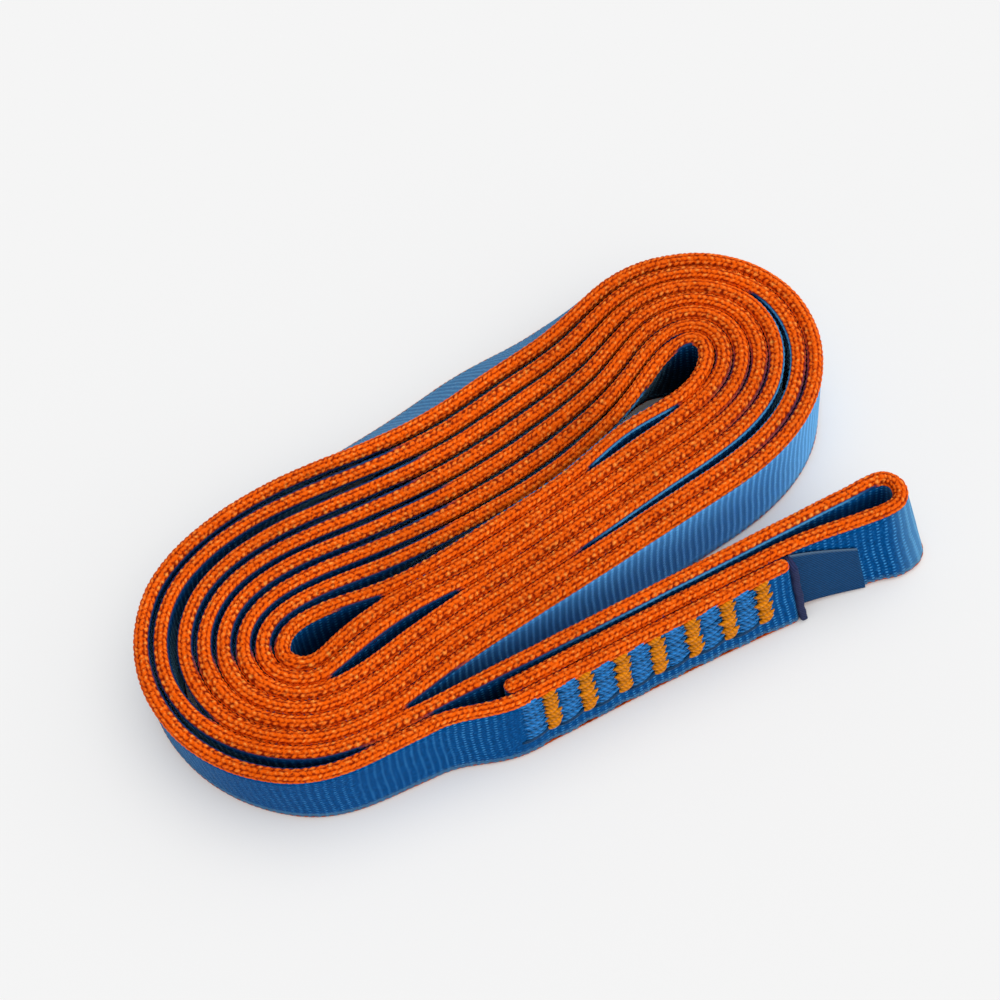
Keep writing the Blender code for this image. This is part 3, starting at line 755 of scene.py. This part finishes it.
def carried(name, places, heights, sides, material, values, lowest=LOWEST):
    """A skin along the webbing: for each place on the line, a ring of points so high up and so far across.
    Where the webbing leans, points that would pass under the lowest level are laid on it."""
    foot, up, across = LINE.section_axes(places)
    points = foot[:, None] + up[:, None] * heights[..., None] + across[:, None] * sides[..., None]
    points[..., 2] = np.maximum(points[..., 2], lowest)
    return skin(name, points, material, values)


def even_places(start, end, step):
    """Even places from start to end, at most one step apart."""
    return np.linspace(start, end, max(2, math.ceil((end - start) / step) + 1))


def front_length(along):
    """Length along the whole line of a place on the front layer's tail."""
    return LINE.coil_start + COIL_END - along


def inner_length(along):
    """Length along the whole line of a place on the inner ply."""
    return LINE.length[-1] - (along - CUT_END_B)


def pinch(places):
    """How much the webbing is drawn in at the bar tacks, 0 to 1: a sum of narrow hills, on both sewn plies."""
    total = np.zeros_like(places)
    for n in range(TACK_COUNT):
        along = FIRST_TACK + n * TACK_PITCH
        for middle in (front_length(along), inner_length(along)):
            total += hill(places - middle, TACK_PITCH * PINCH_REACH)
    return total


def strand_runs():
    """Names of the webbing's runs, with where they start and end on the line."""
    coil_start, turn, coil_end = LINE.coil_start, LINE.turn, LINE.coil_end
    return {
        "front_tail": (0, coil_start),
        "coil_outer_inward": (coil_start, (coil_start + turn) / 2),
        "coil_inner_inward": ((coil_start + turn) / 2, turn),
        "coil_inner_outward": (turn, (turn + coil_end) / 2),
        "coil_outer_outward": ((turn + coil_end) / 2, coil_end),
        "loop_tail": (coil_end, LINE.length[-1]),
    }


def run_node(run):
    """The frame's node that a run stands for."""
    return {"front_tail": "front_tail_webbing", "loop_tail": "loop_tail_webbing"}.get(run, "coil_webbing")


def webbing_faces(run, start, end, room, s, material):
    """The woven body of a run: a ring of points up one face and down the other, each moved outward by the ribs'
    cosine wave, and drawn in where the bar tacks pull the plies together. One of its values says how open the
    face lies to the light, for the material's painted shade: that falls beside other layers, and towards the
    coil's middle turn."""
    places = even_places(start, end, s.face_step)
    levels = np.linspace(FACE_FOOT, FACE_TOP, FACE_LEVELS)
    heights = np.concatenate([levels, levels[::-1]])
    sign = np.repeat([1.0, -1.0], FACE_LEVELS)
    along, up = np.broadcast_arrays(places[:, None] / MM, heights / MM)
    rib = rib_phase(along + sign * RIB_SHIFT, up)
    relief = 0.5 + 0.5 * np.cos(2 * math.pi * rib)
    half = s.face_thickness / 2 - RIB_DEPTH * (1 - relief) - PINCH_DEPTH * pinch(places)[:, None]
    half = half * cut_round(places)[:, None]
    # Painted shade: a side with another layer close beside it, and the eyes' inner turns, are darker.
    free = rising(beside(room, places, sign), OPEN_NEAR, OPEN_FAR - OPEN_NEAR)
    free = free * (1 - EYE_DARK * hill_past(places, LINE.turn, EYE_SHADE)[:, None])
    values = {"up": up, "rib": rib, "open": free}
    values["ribs_and_painted_light"] = ribs_and_painted_light(places)[:, None] + 0 * up
    values["pale"] = pale(places)[:, None] * free
    return carried(f"{run}_faces", places, heights + 0 * half, sign * half, material, values, FACE_LOWEST)


def blue_rim(places, girth, gap):
    """How much of the blue weave shows on the flanks of a top edge, 0 to 1, as far as the loop's bend. Its
    growth from the coil's left to its right, which the knit's material shows as paler blue, is painted light.
    """
    room = rising(gap, *RIM_ROOM) * (1 - rising(gap, *RIM_END))
    east = LINE.section_axes(places)[0][:, :1] - LINE.shift[0]
    grown = RIM_LEAST + (1 - RIM_LEAST) * rising(east, *RIM_START)
    before_loop = places[:, None] < LINE.coil_end + LOOP_BEND[0]
    return rising(np.abs(girth), *RIM_GIRTH) * room * grown * before_loop


def edge_bead(name, places, flip, room, s, points_round, material):
    """A knitted edge: round most of an ellipse, each point moved inward by the knit's relief, and closed by
    three points inside the webbing. flip is 1 for the top edge, which is as wide as the room beside it lets it
    be and has blue rims, and -1 for the foot, which is lower and narrower."""
    height = s.bead_height if flip > 0 else FOOT_HEIGHT
    centre = TAPE_WIDTH - height if flip > 0 else height
    turn = np.radians(np.linspace(-BEAD_REACH, BEAD_REACH, points_round))
    along, girth = np.broadcast_arrays(places[:, None] / MM, turn * s.bead_half_width / MM)
    relief, light = knit_relief(along, girth)
    sway = EDGE_SWAY * np.sin(along * 0.63) * np.sin(along * 0.171 + girth)
    soft = (1 + sway) * cut_round(places)[:, None]
    if flip > 0:
        gap = beside(room, places, turn)
        wide = np.interp(gap / 2, HALF_ROOMS, HALF_WIDTHS)
        rim = blue_rim(places, girth, gap)
    else:
        wide = s.face_thickness / 2 + FOOT_OVER + 0 * along
        rim = 0 * along
    depth = KNIT_DEPTH * (1 - relief) * min(height / s.bead_height, 1)
    sides = (wide * soft - depth) * np.sin(turn)
    heights = centre + flip * (height * soft - depth) * np.cos(turn)
    inner_sides = np.array(INNER_SIDES) * wide.mean(axis=1, keepdims=True) * soft[:, :1]
    inner_heights = centre - flip * np.array(INNER_DEPTHS) * height + 0 * places[:, None]
    sides = np.concatenate([sides, inner_sides], axis=1)
    heights = np.concatenate([heights, inner_heights], axis=1)
    values = {"relief": relief, "light": light, "rim": rim}
    values = {key: np.pad(value, ((0, 0), (0, len(INNER_SIDES)))) for key, value in values.items()}
    if flip < 0:
        heights = np.maximum(heights, LOWEST)[:, ::-1]
        sides = sides[:, ::-1]
        values = {key: value[:, ::-1] for key, value in values.items()}
    return carried(name, places, heights, sides, material, values)


def thread_tubes(name, lines, radius, material, numbers):
    """Many short threads as one piece: flattened tubes along rows of points, whose radius is a power of a half
    sine, so that both ends are pointed. lines is an array of threads by points by three, with the same number
    of points in each; numbers tells the threads apart."""
    threads, count, _ = lines.shape
    tangent = np.gradient(lines, axis=1)
    tangent /= np.linalg.norm(tangent, axis=2, keepdims=True)
    side = np.cross(tangent, [0.0, 0.0, 1.0])
    flat = np.linalg.norm(side, axis=2, keepdims=True)
    side = np.where(flat > 0.05, side / np.maximum(flat, 1e-6), np.cross(tangent, [1.0, 0.0, 0.0]))
    side /= np.linalg.norm(side, axis=2, keepdims=True)
    other = np.cross(side, tangent)
    share = np.linspace(0, 1, count)
    taper = np.maximum(np.sin(math.pi * share), 0.01) ** THREAD_TAPER
    turn = 2 * math.pi * np.arange(THREAD_SIDES) / THREAD_SIDES
    flat_way, round_way = THREAD_FLATNESS * np.cos(turn)[:, None], np.sin(turn)[:, None]
    ring = side[:, :, None] * flat_way + other[:, :, None] * round_way
    points = lines[:, :, None] + ring * (radius * taper)[None, :, None, None]
    starts = np.arange(threads) * count * THREAD_SIDES
    faces = (grid_faces(count, THREAD_SIDES)[None] + starts[:, None, None]).reshape(-1, 4)
    first = np.arange(THREAD_SIDES)
    last = (count - 1) * THREAD_SIDES + first[::-1]
    caps = [start + end for start in starts for end in (first, last)]
    along, girth, number = np.broadcast_arrays(3 * share[:, None], turn, at(numbers)[:, None, None])
    values = {"along": along, "girth": girth, "number": number}
    return new_mesh(name, points.reshape(-1, 3), faces, material, values, caps)


def tack_throws(along, length, throws, face, lift, low, high, draws):
    """Middle lines of the throws of one bar tack: they run from side to side and a little up, stand out by
    turns to the left and right, bow outward from the face as an arch, and start and end inside the webbing."""
    share = np.linspace(-1, 1, THROW_POINTS)
    n = np.arange(throws)[:, None]
    length = length * (1 + LENGTH_DRAW * draws.standard_normal((throws, 1)))
    offset = along + THROW_STAGGER * (n % 2 * 2 - 1) + PLACE_DRAW * draws.standard_normal((throws, 1))
    up = low + (high - low) * (n + 0.5) / throws + HEIGHT_DRAW * draws.standard_normal((throws, 1))
    place = offset + share * length / 2
    up = up + TACK_SLANT * share * length / 2
    out = face + lift * (np.sqrt(np.maximum(1 - share**4, 0)) - THROW_SINK)
    return splice_place(place, out, up)


class Value:
    """A value in a material's tree. Sums of it with numbers and other values add maths nodes to the tree."""

    def __init__(self, tree, socket):
        self.tree = tree
        self.socket = socket

    def maths(self, operation, *others):
        """The result of a maths node that takes this value first, and then the others."""
        item = self.tree.nodes.new("ShaderNodeMath")
        item.operation = operation
        for socket, value in zip(item.inputs, (self, *others)):
            put(self.tree, socket, value)
        return Value(self.tree, item.outputs[0])

    def __add__(self, other):
        return self.maths("ADD", other)

    def __sub__(self, other):
        return self.maths("SUBTRACT", other)

    def __mul__(self, other):
        return self.maths("MULTIPLY", other)

    def __pow__(self, other):
        return self.maths("POWER", other)

    def __abs__(self):
        return self.maths("ABSOLUTE")

    def least(self, bound):
        """The value, and never less than the bound."""
        return self.maths("MAXIMUM", bound)

    def most(self, bound):
        """The value, and never more than the bound."""
        return self.maths("MINIMUM", bound)


def number_table(tree, *names):
    """The values of some of the mesh's own attributes."""
    for name in names:
        item = tree.nodes.new("ShaderNodeAttribute")
        item.attribute_name = name
        yield Value(tree, item.outputs["Fac"])


def put(tree, socket, value):
    """Sets a socket to a constant, or links it to a value or to another socket."""
    if isinstance(value, Value):
        value = value.socket
    if isinstance(value, bpy.types.NodeSocket):
        tree.links.new(value, socket)
    else:
        socket.default_value = value


def blended(tree, share, first, second, way="MIX"):
    """Two colours mixed by a share."""
    item = tree.nodes.new("ShaderNodeMix")
    item.data_type = "RGBA"
    item.blend_type = way
    for number, value in ((0, share), (6, first), (7, second)):
        put(tree, item.inputs[number], value)
    return Value(tree, item.outputs[2])


def ramp(tree, share, stops):
    """A colour that runs through the stops, given as (place, colour)."""
    item = tree.nodes.new("ShaderNodeValToRGB")
    put(tree, item.inputs[0], share)
    elements = item.color_ramp.elements
    while len(elements) < len(stops):
        elements.new(0.5)
    for element, (place, colour) in zip(elements, stops):
        element.position = place
        element.color = colour
    return Value(tree, item.outputs[0])


def tint(tree, value):
    """A grey of the given value."""
    item = tree.nodes.new("ShaderNodeCombineColor")
    for socket in item.inputs[:3]:
        put(tree, socket, value)
    return Value(tree, item.outputs[0])


def noise(tree, scale, detail=2.0):
    """Noise in the object's own coordinates, 0 to 1, scale in features per metre."""
    place = tree.nodes.new("ShaderNodeTexCoord")
    item = tree.nodes.new("ShaderNodeTexNoise")
    put(tree, item.inputs["Vector"], place.outputs["Object"])
    item.inputs["Scale"].default_value = scale
    item.inputs["Detail"].default_value = detail
    return Value(tree, item.outputs[0])


def wave(value, pitch):
    """A zigzag of the value, from -1 to 1, with the given pitch."""
    return abs((value * (1 / pitch)).maths("FRACT") - 0.5) * 4.0 - 1.0


def finish(tree, shader, colour, height, distance, strength):
    """Gives a shader its colour, and a relief whose height is worth a distance at full strength."""
    item = tree.nodes.new("ShaderNodeBump")
    item.inputs["Strength"].default_value = strength
    item.inputs["Distance"].default_value = distance
    put(tree, item.inputs["Height"], height)
    put(tree, shader.inputs["Base Color"], colour)
    put(tree, shader.inputs["Normal"], item.outputs[0])


def cloth(name, roughness, sheen, gloss=(1.0, 1.0, 1.0)):
    """A new matt material whose faint gloss and soft sheen have a colour, with its tree and shader."""
    material = bpy.data.materials.new(name)
    material.use_nodes = True
    tree = material.node_tree
    shader = tree.nodes["Principled BSDF"]
    shader.inputs["Roughness"].default_value = roughness
    shader.inputs["Sheen Weight"].default_value = sheen
    shader.inputs["Sheen Roughness"].default_value = 0.35
    shader.inputs["Sheen Tint"].default_value = gloss + (1.0,)
    shader.inputs["Specular IOR Level"].default_value = 0.2
    shader.inputs["Specular Tint"].default_value = gloss + (1.0,)
    return material, tree, shader


def shade(colour, share):
    """A colour made darker or lighter by a factor, with full alpha."""
    return tuple(min(channel * share, 1.0) for channel in colour[:3]) + (1.0,)


def knit_material(name, s, level):
    """Orange knit: dark red in the stitch holes, a painted shade, and light on the yarns' backs, a painted
    highlight, with fibres and a slow fade; blue at its rims, where the weave begins, paler towards the coil's
    right, painted light. The level makes the whole knit darker: the foot's copy at 0.55 is a painted shade."""
    material, tree, shader = cloth(name, 0.7, 0.0, (1.0, 0.4, 0.1))
    relief, light, rim = number_table(tree, "relief", "light", "rim")
    # Painted shade: the knit is darkest in its stitch holes and lighter on its yarns' tops.
    stops = [(0.0, shade(s.knit_dark, 0.6 * level)), (0.18, shade(s.knit_dark, level))]
    stops += [(0.5, shade(s.orange, level)), (1.0, shade(s.orange, 1.15 * level))]
    speckle = noise(tree, 1900.0, 3.0) * 1.3 - 0.65
    flecks = (noise(tree, 1500.0) * 5.0 - 2.2).least(0.1).most(1.0)
    # Painted highlight on the yarns' backs, in flecks.
    colour = blended(tree, light * flecks, ramp(tree, relief + speckle, stops), shade(s.knit_light, level))
    # Blue rims, paler where the rim value is high, towards the coil's right: painted light.
    stops = [(0.0, shade(s.blue, 0.3)), (0.3, shade(s.blue, 0.6)), (1.0, shade(s.blue_light, 0.75))]
    colour = blended(tree, (rim * 6.0).most(1.0), colour, ramp(tree, rim, stops))
    fade = tint(tree, noise(tree, 70.0) * 0.5 + 0.73)
    finish(tree, shader, blended(tree, 1.0, colour, fade, "MULTIPLY"), noise(tree, 5000.0), 0.00008, 0.6)
    return material


def face_material(s):
    """Blue weave: each upright rib is a light zigzag line of short dashes, a painted highlight; between them
    lies fine deep blue, and a painted sheen makes the fibres pale where they catch the light. The sides that
    lie against other layers are darker, a painted shade, and the coil's front is brighter, painted light."""
    material, tree, shader = cloth("Blue weave", 0.6, 0.5, (0.3, 0.7, 1.0))
    shader.inputs["Specular IOR Level"].default_value = 0.02
    shader.inputs["Sheen Roughness"].default_value = 0.15
    up, rib, free, strength, painted_sheen = number_table(tree, "up", "rib", "open", "ribs_and_painted_light", "pale")
    # The ribs' light lines are painted highlights on the raised yarns.
    zigzag = wave(up, DASH_PITCH)
    off = abs((rib + (zigzag * 0.10 + 0.5)).maths("FRACT") - 0.5)
    line = ramp(tree, off, [(0.08, (1.0,) * 4), (0.27, (0.0, 0.0, 0.0, 1.0))])
    dash = (zigzag * 0.7 + 0.4).most(1.0).least(0.0)
    slow = (noise(tree, 90.0) * 1.2 + 0.3) * strength
    fine = wave(up, DASH_PITCH / 2) * 0.06
    speckle = noise(tree, 2600.0, 3.0) * 0.8 - 0.20
    share = line * dash * slow + fine + speckle
    stops = [(0.0, shade(s.blue, 0.5)), (0.3, shade(s.blue, 1.0)), (1.0, shade(s.blue_light, 1.0))]
    # Painted sheen: pale blue is mixed in where the fibres catch the light.
    colour = blended(tree, painted_sheen * (line * 0.45 + 0.6), ramp(tree, share, stops), PAINTED_SHEEN_BLUE)
    # Painted shade: a side beside another layer keeps 0.18 of its brightness at its foot, more towards its top.
    covered = (up * (MM / TAPE_WIDTH)) ** 4.0 * 0.5 + 0.18
    light = free * (covered * -1.0 + 1.0) + covered
    # Painted light: where the ribs' strength passes 0.55, along the coil's front, the whole face is brighter.
    light = tint(tree, light * (strength * 2.0 - 0.1).least(1.0))
    finish(tree, shader, blended(tree, 1.0, colour, light, "MULTIPLY"), share, 0.00010, 0.8)
    return material


def thread_material(name, colour, light):
    """Twisted thread: its plies wind round it as slanting stripes, lighter on their backs and darker between
    them, a painted highlight and shade. The threads differ a little, and those with the number 0 have the dark
    colour only."""
    material, tree, shader = cloth(name, 0.5, 0.0, light[:3])
    along, girth, number = number_table(tree, "along", "girth", "number")
    ply = ((along * 5.0 + girth) * 2.0).maths("SINE") * 0.5 + 0.5
    own = (number * 0.377).maths("FRACT")
    share = (ply * 0.55 + own * 0.45) * number.most(1.0)
    finish(tree, shader, ramp(tree, share, [(0.0, colour), (1.0, light)]), ply, 0.00006, 0.7)
    return material


def label_material(name, colour):
    """Fine twill: slanting threads across the leaf, with a thin paler selvedge along its top edge."""
    material, tree, shader = cloth(name, 0.75, 0.0, (0.3, 0.6, 1.0))
    along, up, edge = number_table(tree, "along", "up", "edge")
    thread = (along * 16.0 + up * 9.0).maths("SINE") * 0.5 + 0.5
    share = thread * 0.6 + noise(tree, 1800.0, 3.0) * 0.5
    base = ramp(tree, share, [(0.1, shade(colour, 0.6)), (0.9, shade(colour, 1.6))])
    finish(tree, shader, blended(tree, edge, base, SELVEDGE_COLOUR), share, 0.00008, 0.6)
    return material


def floor_material(s):
    """The pale floor, with a soft grain. Straight to the camera, and in gloss or through glass, most of it
    shows as the background's own brightness, so that the object's shadow stays but is faint. That share falls
    where the object stands close by, and is nothing under it."""
    material, tree, shader = cloth("Pale floor", 0.9, 0.0)
    shader.inputs["Specular IOR Level"].default_value = 0.0
    grain = tint(tree, noise(tree, 30.0) * 0.004 + 0.998)
    put(tree, shader.inputs["Base Color"], blended(tree, 1.0, s.floor[:] + (1.0,), grain, "MULTIPLY"))
    glow = tree.nodes.new("ShaderNodeEmission")
    glow.inputs["Color"].default_value = s.background[:] + (1.0,)
    rays = tree.nodes.new("ShaderNodeLightPath")
    seen = Value(tree, rays.outputs["Is Camera Ray"])
    for kind in ("Is Glossy Ray", "Is Transmission Ray"):
        seen = seen.least(rays.outputs[kind])
    near = tree.nodes.new("ShaderNodeAmbientOcclusion")
    near.samples = 8
    near.inputs["Distance"].default_value = COVER_REACH
    open_floor = (Value(tree, near.outputs["AO"]) * COVER_SLOPE + (1 - COVER_SLOPE)).least(0.0)
    mix = tree.nodes.new("ShaderNodeMixShader")
    for socket, value in zip(mix.inputs, (seen * open_floor * GLOW_SHARE, shader.outputs[0], glow.outputs[0])):
        put(tree, socket, value)
    put(tree, tree.nodes["Material Output"].inputs["Surface"], mix.outputs[0])
    return material


def dress(item, run_nodes):
    """Rides on the frame and stands for the frame's nodes."""
    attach(item, "root")
    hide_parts(*run_nodes)
    return item


def size_setting(name, description, default):
    """A setting that is a length."""
    return FloatProperty(name=name, description=description, default=default, unit="LENGTH", precision=5)


def colour_setting(name, description, *default):
    """A setting that is a colour."""
    return FloatVectorProperty(name=name, description=description, default=default, subtype="COLOR")


class SlingSettings(bpy.types.PropertyGroup):
    """Sizes and colours of the sling and its stage."""

    face_thickness: size_setting("Webbing thickness", "Thickness of the woven body", 0.00192)
    face_step: size_setting("Weave step", "Mesh step along the woven faces", 0.00027)
    bead_half_width: size_setting("Edge half width", "Half the knitted edge's width", 0.00110)
    bead_height: size_setting("Edge height", "Height of the knitted edge", 0.00100)
    top_step: size_setting("Top knit step", "Mesh step along the top edge", 0.00015)
    foot_step: size_setting("Foot knit step", "Mesh step along the lower edge", 0.00022)
    throws: IntProperty(name="Throws", description="Stitches in one bar tack", default=9, min=4)
    throw_radius: size_setting("Thread radius", "Radius of the bar tack thread", 0.00062)
    orange: colour_setting("Knit colour", "Colour of the knitted edges", 0.82, 0.100, 0.001)
    # Painted shade: the knit's colour in its stitch holes.
    knit_dark: colour_setting("Knit dark colour", "Colour between the knit's yarns", 0.32, 0.018, 0.001)
    # Painted highlight: the knit's colour on its yarns' backs.
    knit_light: colour_setting("Knit light colour", "Colour of the knit's long loops", 1.0, 0.40, 0.07)
    blue: colour_setting("Weave colour", "Colour of the woven faces", 0.0, 0.080, 0.29)
    # Painted highlight: the colour of the ribs' light lines, and of the knit's blue rims at their palest.
    blue_light: colour_setting("Weave light colour", "Colour of the weave's raised yarns", 0.08, 0.42, 0.85)
    tack_orange: colour_setting("Orange thread", "Colour of the orange bar tacks", 0.76, 0.24, 0.006)
    tack_blue: colour_setting("Blue thread", "Colour of the blue bar tacks", 0.018, 0.16, 0.44)
    navy: colour_setting("Label colour", "Colour of the woven label", 0.004, 0.043, 0.13)
    floor: colour_setting("Floor colour", "Colour of the floor", 0.86, 0.86, 0.86)
    background: colour_setting("Background", "Brightness of the floor in the picture", 0.914, 0.914, 0.914)
    world_light: FloatProperty(name="Sky light", description="Strength of the light all round", default=0.55)
    sun_light: FloatProperty(name="Main light", description="Strength of the main light", default=1.91)


class SLING_OT_webbing(bpy.types.Operator):
    """Makes the woven blue body of every run of webbing"""

    bl_idname = "sling.webbing"
    bl_label = "Webbing"

    def execute(self, context):
        s = context.scene.sling
        material = face_material(s)
        room = room_beside(0.5)
        for run, (start, end) in strand_runs().items():
            piece = dress(webbing_faces(run, start, end, room, s, material), [run_node(run)])
            float(end - start)
        return {"FINISHED"}


class SLING_OT_knitted_edges(bpy.types.Operator):
    """Makes the orange knitted edges of every run, at its top and its foot"""

    bl_idname = "sling.knitted_edges"
    bl_label = "Knitted edges"

    def execute(self, context):
        s = context.scene.sling
        # The foot's knit is a darker copy of the top edge's: painted shade.
        upper, lower = knit_material("Orange knit edge", s, 1.0), knit_material("Orange knit foot", s, 0.55)
        room = room_beside(1 - s.bead_height / TAPE_WIDTH)
        for run, (start, end) in strand_runs().items():
            node = [run_node(run)]
            top = even_places(start, end, s.top_step)
            dress(edge_bead(f"{run}_top_edge", top, 1, room, s, TOP_POINTS, upper), node)
            foot = even_places(start, end, s.foot_step)
            dress(edge_bead(f"{run}_foot_edge", foot, -1, room, s, FOOT_POINTS, lower), node)
        return {"FINISHED"}


class SLING_OT_bar_tacks(bpy.types.Operator):
    """Sews the bar tacks, orange and blue by turns, thread by thread"""

    bl_idname = "sling.bar_tacks"
    bl_label = "Bar tacks"

    def execute(self, context):
        s = context.scene.sling
        draws = np.random.default_rng(STITCH_SEED)
        # A darker and a lighter copy of each thread colour: painted shade and highlight on the plies.
        orange = thread_material("Orange thread", shade(s.tack_orange, 0.45), shade(s.tack_orange, 1.25))
        blue = thread_material("Blue thread", shade(s.tack_blue, 0.25), shade(s.tack_blue, 1.7))
        low, high = TAPE_WIDTH * TACK_BOTTOM, TAPE_WIDTH * TACK_TOP
        front = OUTER_PLY + s.face_thickness / 2 - PINCH_DEPTH
        back = INNER_PLY - s.face_thickness / 2 + PINCH_DEPTH
        for n in range(TACK_COUNT):
            kinds = (
                ("orange", 0.0, ORANGE_LENGTH, s.throws, s.throw_radius, orange),
                ("blue", -TACK_PITCH / 2, BLUE_LENGTH, s.throws * 3 // 2, s.throw_radius * 0.7, blue),
            )
            for kind, shift, length, throws, radius, material in kinds:
                along = FIRST_TACK + n * TACK_PITCH + shift
                rows = [
                    tack_throws(along, length, throws, front, radius, low, high, draws),
                    tack_throws(along, length, throws, back, -radius * 0.5, low, high * 0.9, draws),
                ]
                numbers = list(range(1, 1 + 2 * throws))
                if kind == "blue":
                    ends = low - radius, low + radius
                    rows.append(tack_throws(along, LINK_LENGTH, 2, front, radius * 1.2, *ends, draws))
                    numbers += [0, 0]
                item = thread_tubes(f"{kind}_tack_{n + 1}", np.concatenate(rows), radius, material, numbers)
                dress(item, [f"{kind}_bar_tack_{n + 1}"])
        return {"FINISHED"}


class SLING_OT_label(bpy.types.Operator):
    """Makes the bare woven label: a leaf on the inner ply and a fold round the front layer's cut end"""

    bl_idname = "sling.label"
    bl_label = "Label"

    def execute(self, context):
        s = context.scene.sling
        material = label_material("Navy twill", s.navy[:] + (1.0,))
        leaf = dress(label_leaf(s, material), ["woven_label"])
        fold_material = label_material("Fold of the label", FOLD_COLOUR)
        fold = dress(label_fold(s, fold_material), ["woven_label"])
        return {"FINISHED"}


def label_leaf(s, material):
    """A thin sheet on the inner ply, from the fold to its free end. Its height tapers to the free end."""
    along = np.linspace(CUT_END_A + FOLD_HALF_WIDTH, LABEL_END, LABEL_ROWS)[:, None]
    out = loop_out(along) + s.face_thickness / 2 + LABEL_THICKNESS / 2 + LABEL_GAP
    share = (along - CUT_END_A) / (LABEL_END - CUT_END_A)
    low = LABEL_BOTTOM_LEFT + (LABEL_BOTTOM_RIGHT - LABEL_BOTTOM_LEFT) * share
    high = LABEL_TOP_LEFT + (LABEL_TOP_RIGHT - LABEL_TOP_LEFT) * share
    level = np.linspace(0, 1, LABEL_LEVELS)
    level = np.concatenate([level, level[::-1]])
    side = np.repeat([1.0, -1.0], LABEL_LEVELS) * LABEL_THICKNESS / 2
    up = TAPE_WIDTH * (low + (high - low) * level)
    edge = np.clip((level - SELVEDGE_START) / SELVEDGE_EASE, 0, 1) + 0 * up
    values = {"along": along / MM + 0 * up, "up": up / MM, "edge": edge}
    return skin("label_leaf", splice_place(along, out + side, up), material, values)


def label_fold(s, material):
    """The label's fold over the front layer's cut end: a rounded bar whose section is a superellipse with the
    power of four, a little wavy along its height and closed at both ends."""
    up = TAPE_WIDTH * np.linspace(FOLD_FOOT, LABEL_TOP_LEFT, FOLD_ROWS)[:, None]
    ends = np.minimum(up - up[0], up[-1] - up) / FOLD_ROUND
    rounding = np.sqrt(1 - 0.9 * (1 - np.clip(ends, 0, 1)) ** 2)
    turn = 2 * math.pi * np.arange(FOLD_POINTS) / FOLD_POINTS
    across, outward = (rounding * np.sign(way) * np.abs(way) ** 0.5 for way in (np.cos(turn), np.sin(turn)))
    sway = 0.00006 * np.sin(up / MM * 1.1) + 0.00004 * np.sin(up / MM * 2.7)
    along = CUT_END_A + FOLD_HALF_WIDTH * (0.5 + across) + sway
    inner, outer = INNER_PLY + s.face_thickness / 2, OUTER_PLY + s.face_thickness / 2 + FOLD_OVER
    out = (inner + outer) / 2 + (outer - inner) / 2 * outward
    values = {"along": along / MM, "up": up / MM + 0 * along, "edge": 0 * along}
    return skin("label_fold", splice_place(along, out, up), material, values)


class SLING_OT_stage(bpy.types.Operator):
    """Sets the floor, the lights and the camera"""

    bl_idname = "sling.stage"
    bl_label = "Stage"

    def execute(self, context):
        s = context.scene.sling
        corners = FLOOR_HALF_WIDTH * np.array([[-1, -1, 0], [1, -1, 0], [1, 1, 0], [-1, 1, 0]])
        floor = new_mesh("floor", corners, np.array([[0, 1, 2, 3]]), floor_material(s))
        floor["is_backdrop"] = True
        world = bpy.data.worlds.new("Studio")
        world.use_nodes = True
        context.scene.world = world
        back = world.node_tree.nodes["Background"]
        back.inputs["Color"].default_value = (1.0, 1.0, 1.0, 1.0)
        back.inputs["Strength"].default_value = s.world_light
        light = bpy.data.lights.new("Wide window", "SUN")
        light.energy = s.sun_light
        light.angle = SUN_SPREAD
        sun = bpy.data.objects.new("Wide window", light)
        context.scene.collection.objects.link(sun)
        sun.rotation_euler = Vector(SUN_TOWARD).to_track_quat("Z", "Y").to_euler()
        context.scene.camera = make_camera()
        context.scene.view_settings.view_transform = "Standard"
        return {"FINISHED"}


def make_camera():
    """The photo's camera: turned so far round the object, so high over it, rolled, and aimed at a point."""
    lens = bpy.data.cameras.new("Camera")
    lens.sensor_width = CAMERA_SENSOR
    lens.lens = CAMERA_LENS
    lens.clip_start = 0.01
    lens.clip_end = 20
    camera = bpy.data.objects.new("Camera", lens)
    bpy.context.scene.collection.objects.link(camera)
    turn = Matrix.Rotation(CAMERA_TURN, 4, "Z")
    tilt = Matrix.Rotation(math.pi / 2 - CAMERA_ELEVATION, 4, "X")
    roll = Matrix.Rotation(CAMERA_ROLL, 4, "Z")
    back = Matrix.Translation((0, 0, CAMERA_DISTANCE))
    camera.matrix_world = Matrix.Translation(LINE.shift + CAMERA_AIM) @ turn @ tilt @ back @ roll
    return camera


class SLING_PT_panel(bpy.types.Panel):
    """Lists the sling's operators and settings"""

    bl_idname = "SLING_PT_panel"
    bl_label = "Stowed sling"
    bl_space_type = "VIEW_3D"
    bl_region_type = "UI"
    bl_category = "Sling"

    def draw(self, context):
        for operator in OPERATORS:
            self.layout.operator(operator.bl_idname)
        for name in SlingSettings.__annotations__:
            self.layout.prop(context.scene.sling, name)


OPERATORS = (
    SLING_OT_webbing,
    SLING_OT_knitted_edges,
    SLING_OT_bar_tacks,
    SLING_OT_label,
    SLING_OT_stage,
)
CLASSES = (SlingSettings,) + OPERATORS + (SLING_PT_panel,)


def register():
    for item in CLASSES:
        bpy.utils.register_class(item)
    bpy.types.Scene.sling = PointerProperty(type=SlingSettings)


def unregister():
    del bpy.types.Scene.sling
    for item in reversed(CLASSES):
        bpy.utils.unregister_class(item)


def main():
    register()
    bpy.ops.sling.webbing()
    bpy.ops.sling.knitted_edges()
    bpy.ops.sling.bar_tacks()
    bpy.ops.sling.label()
    bpy.ops.sling.stage()
    bpy.context.view_layer.update()
    boxes = {"cad": CAD_BOX, "visual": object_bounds()}
    sizes = {name: [list(corner) for corner in box] for name, box in boxes.items()}


if __name__ == "__main__":
    main()
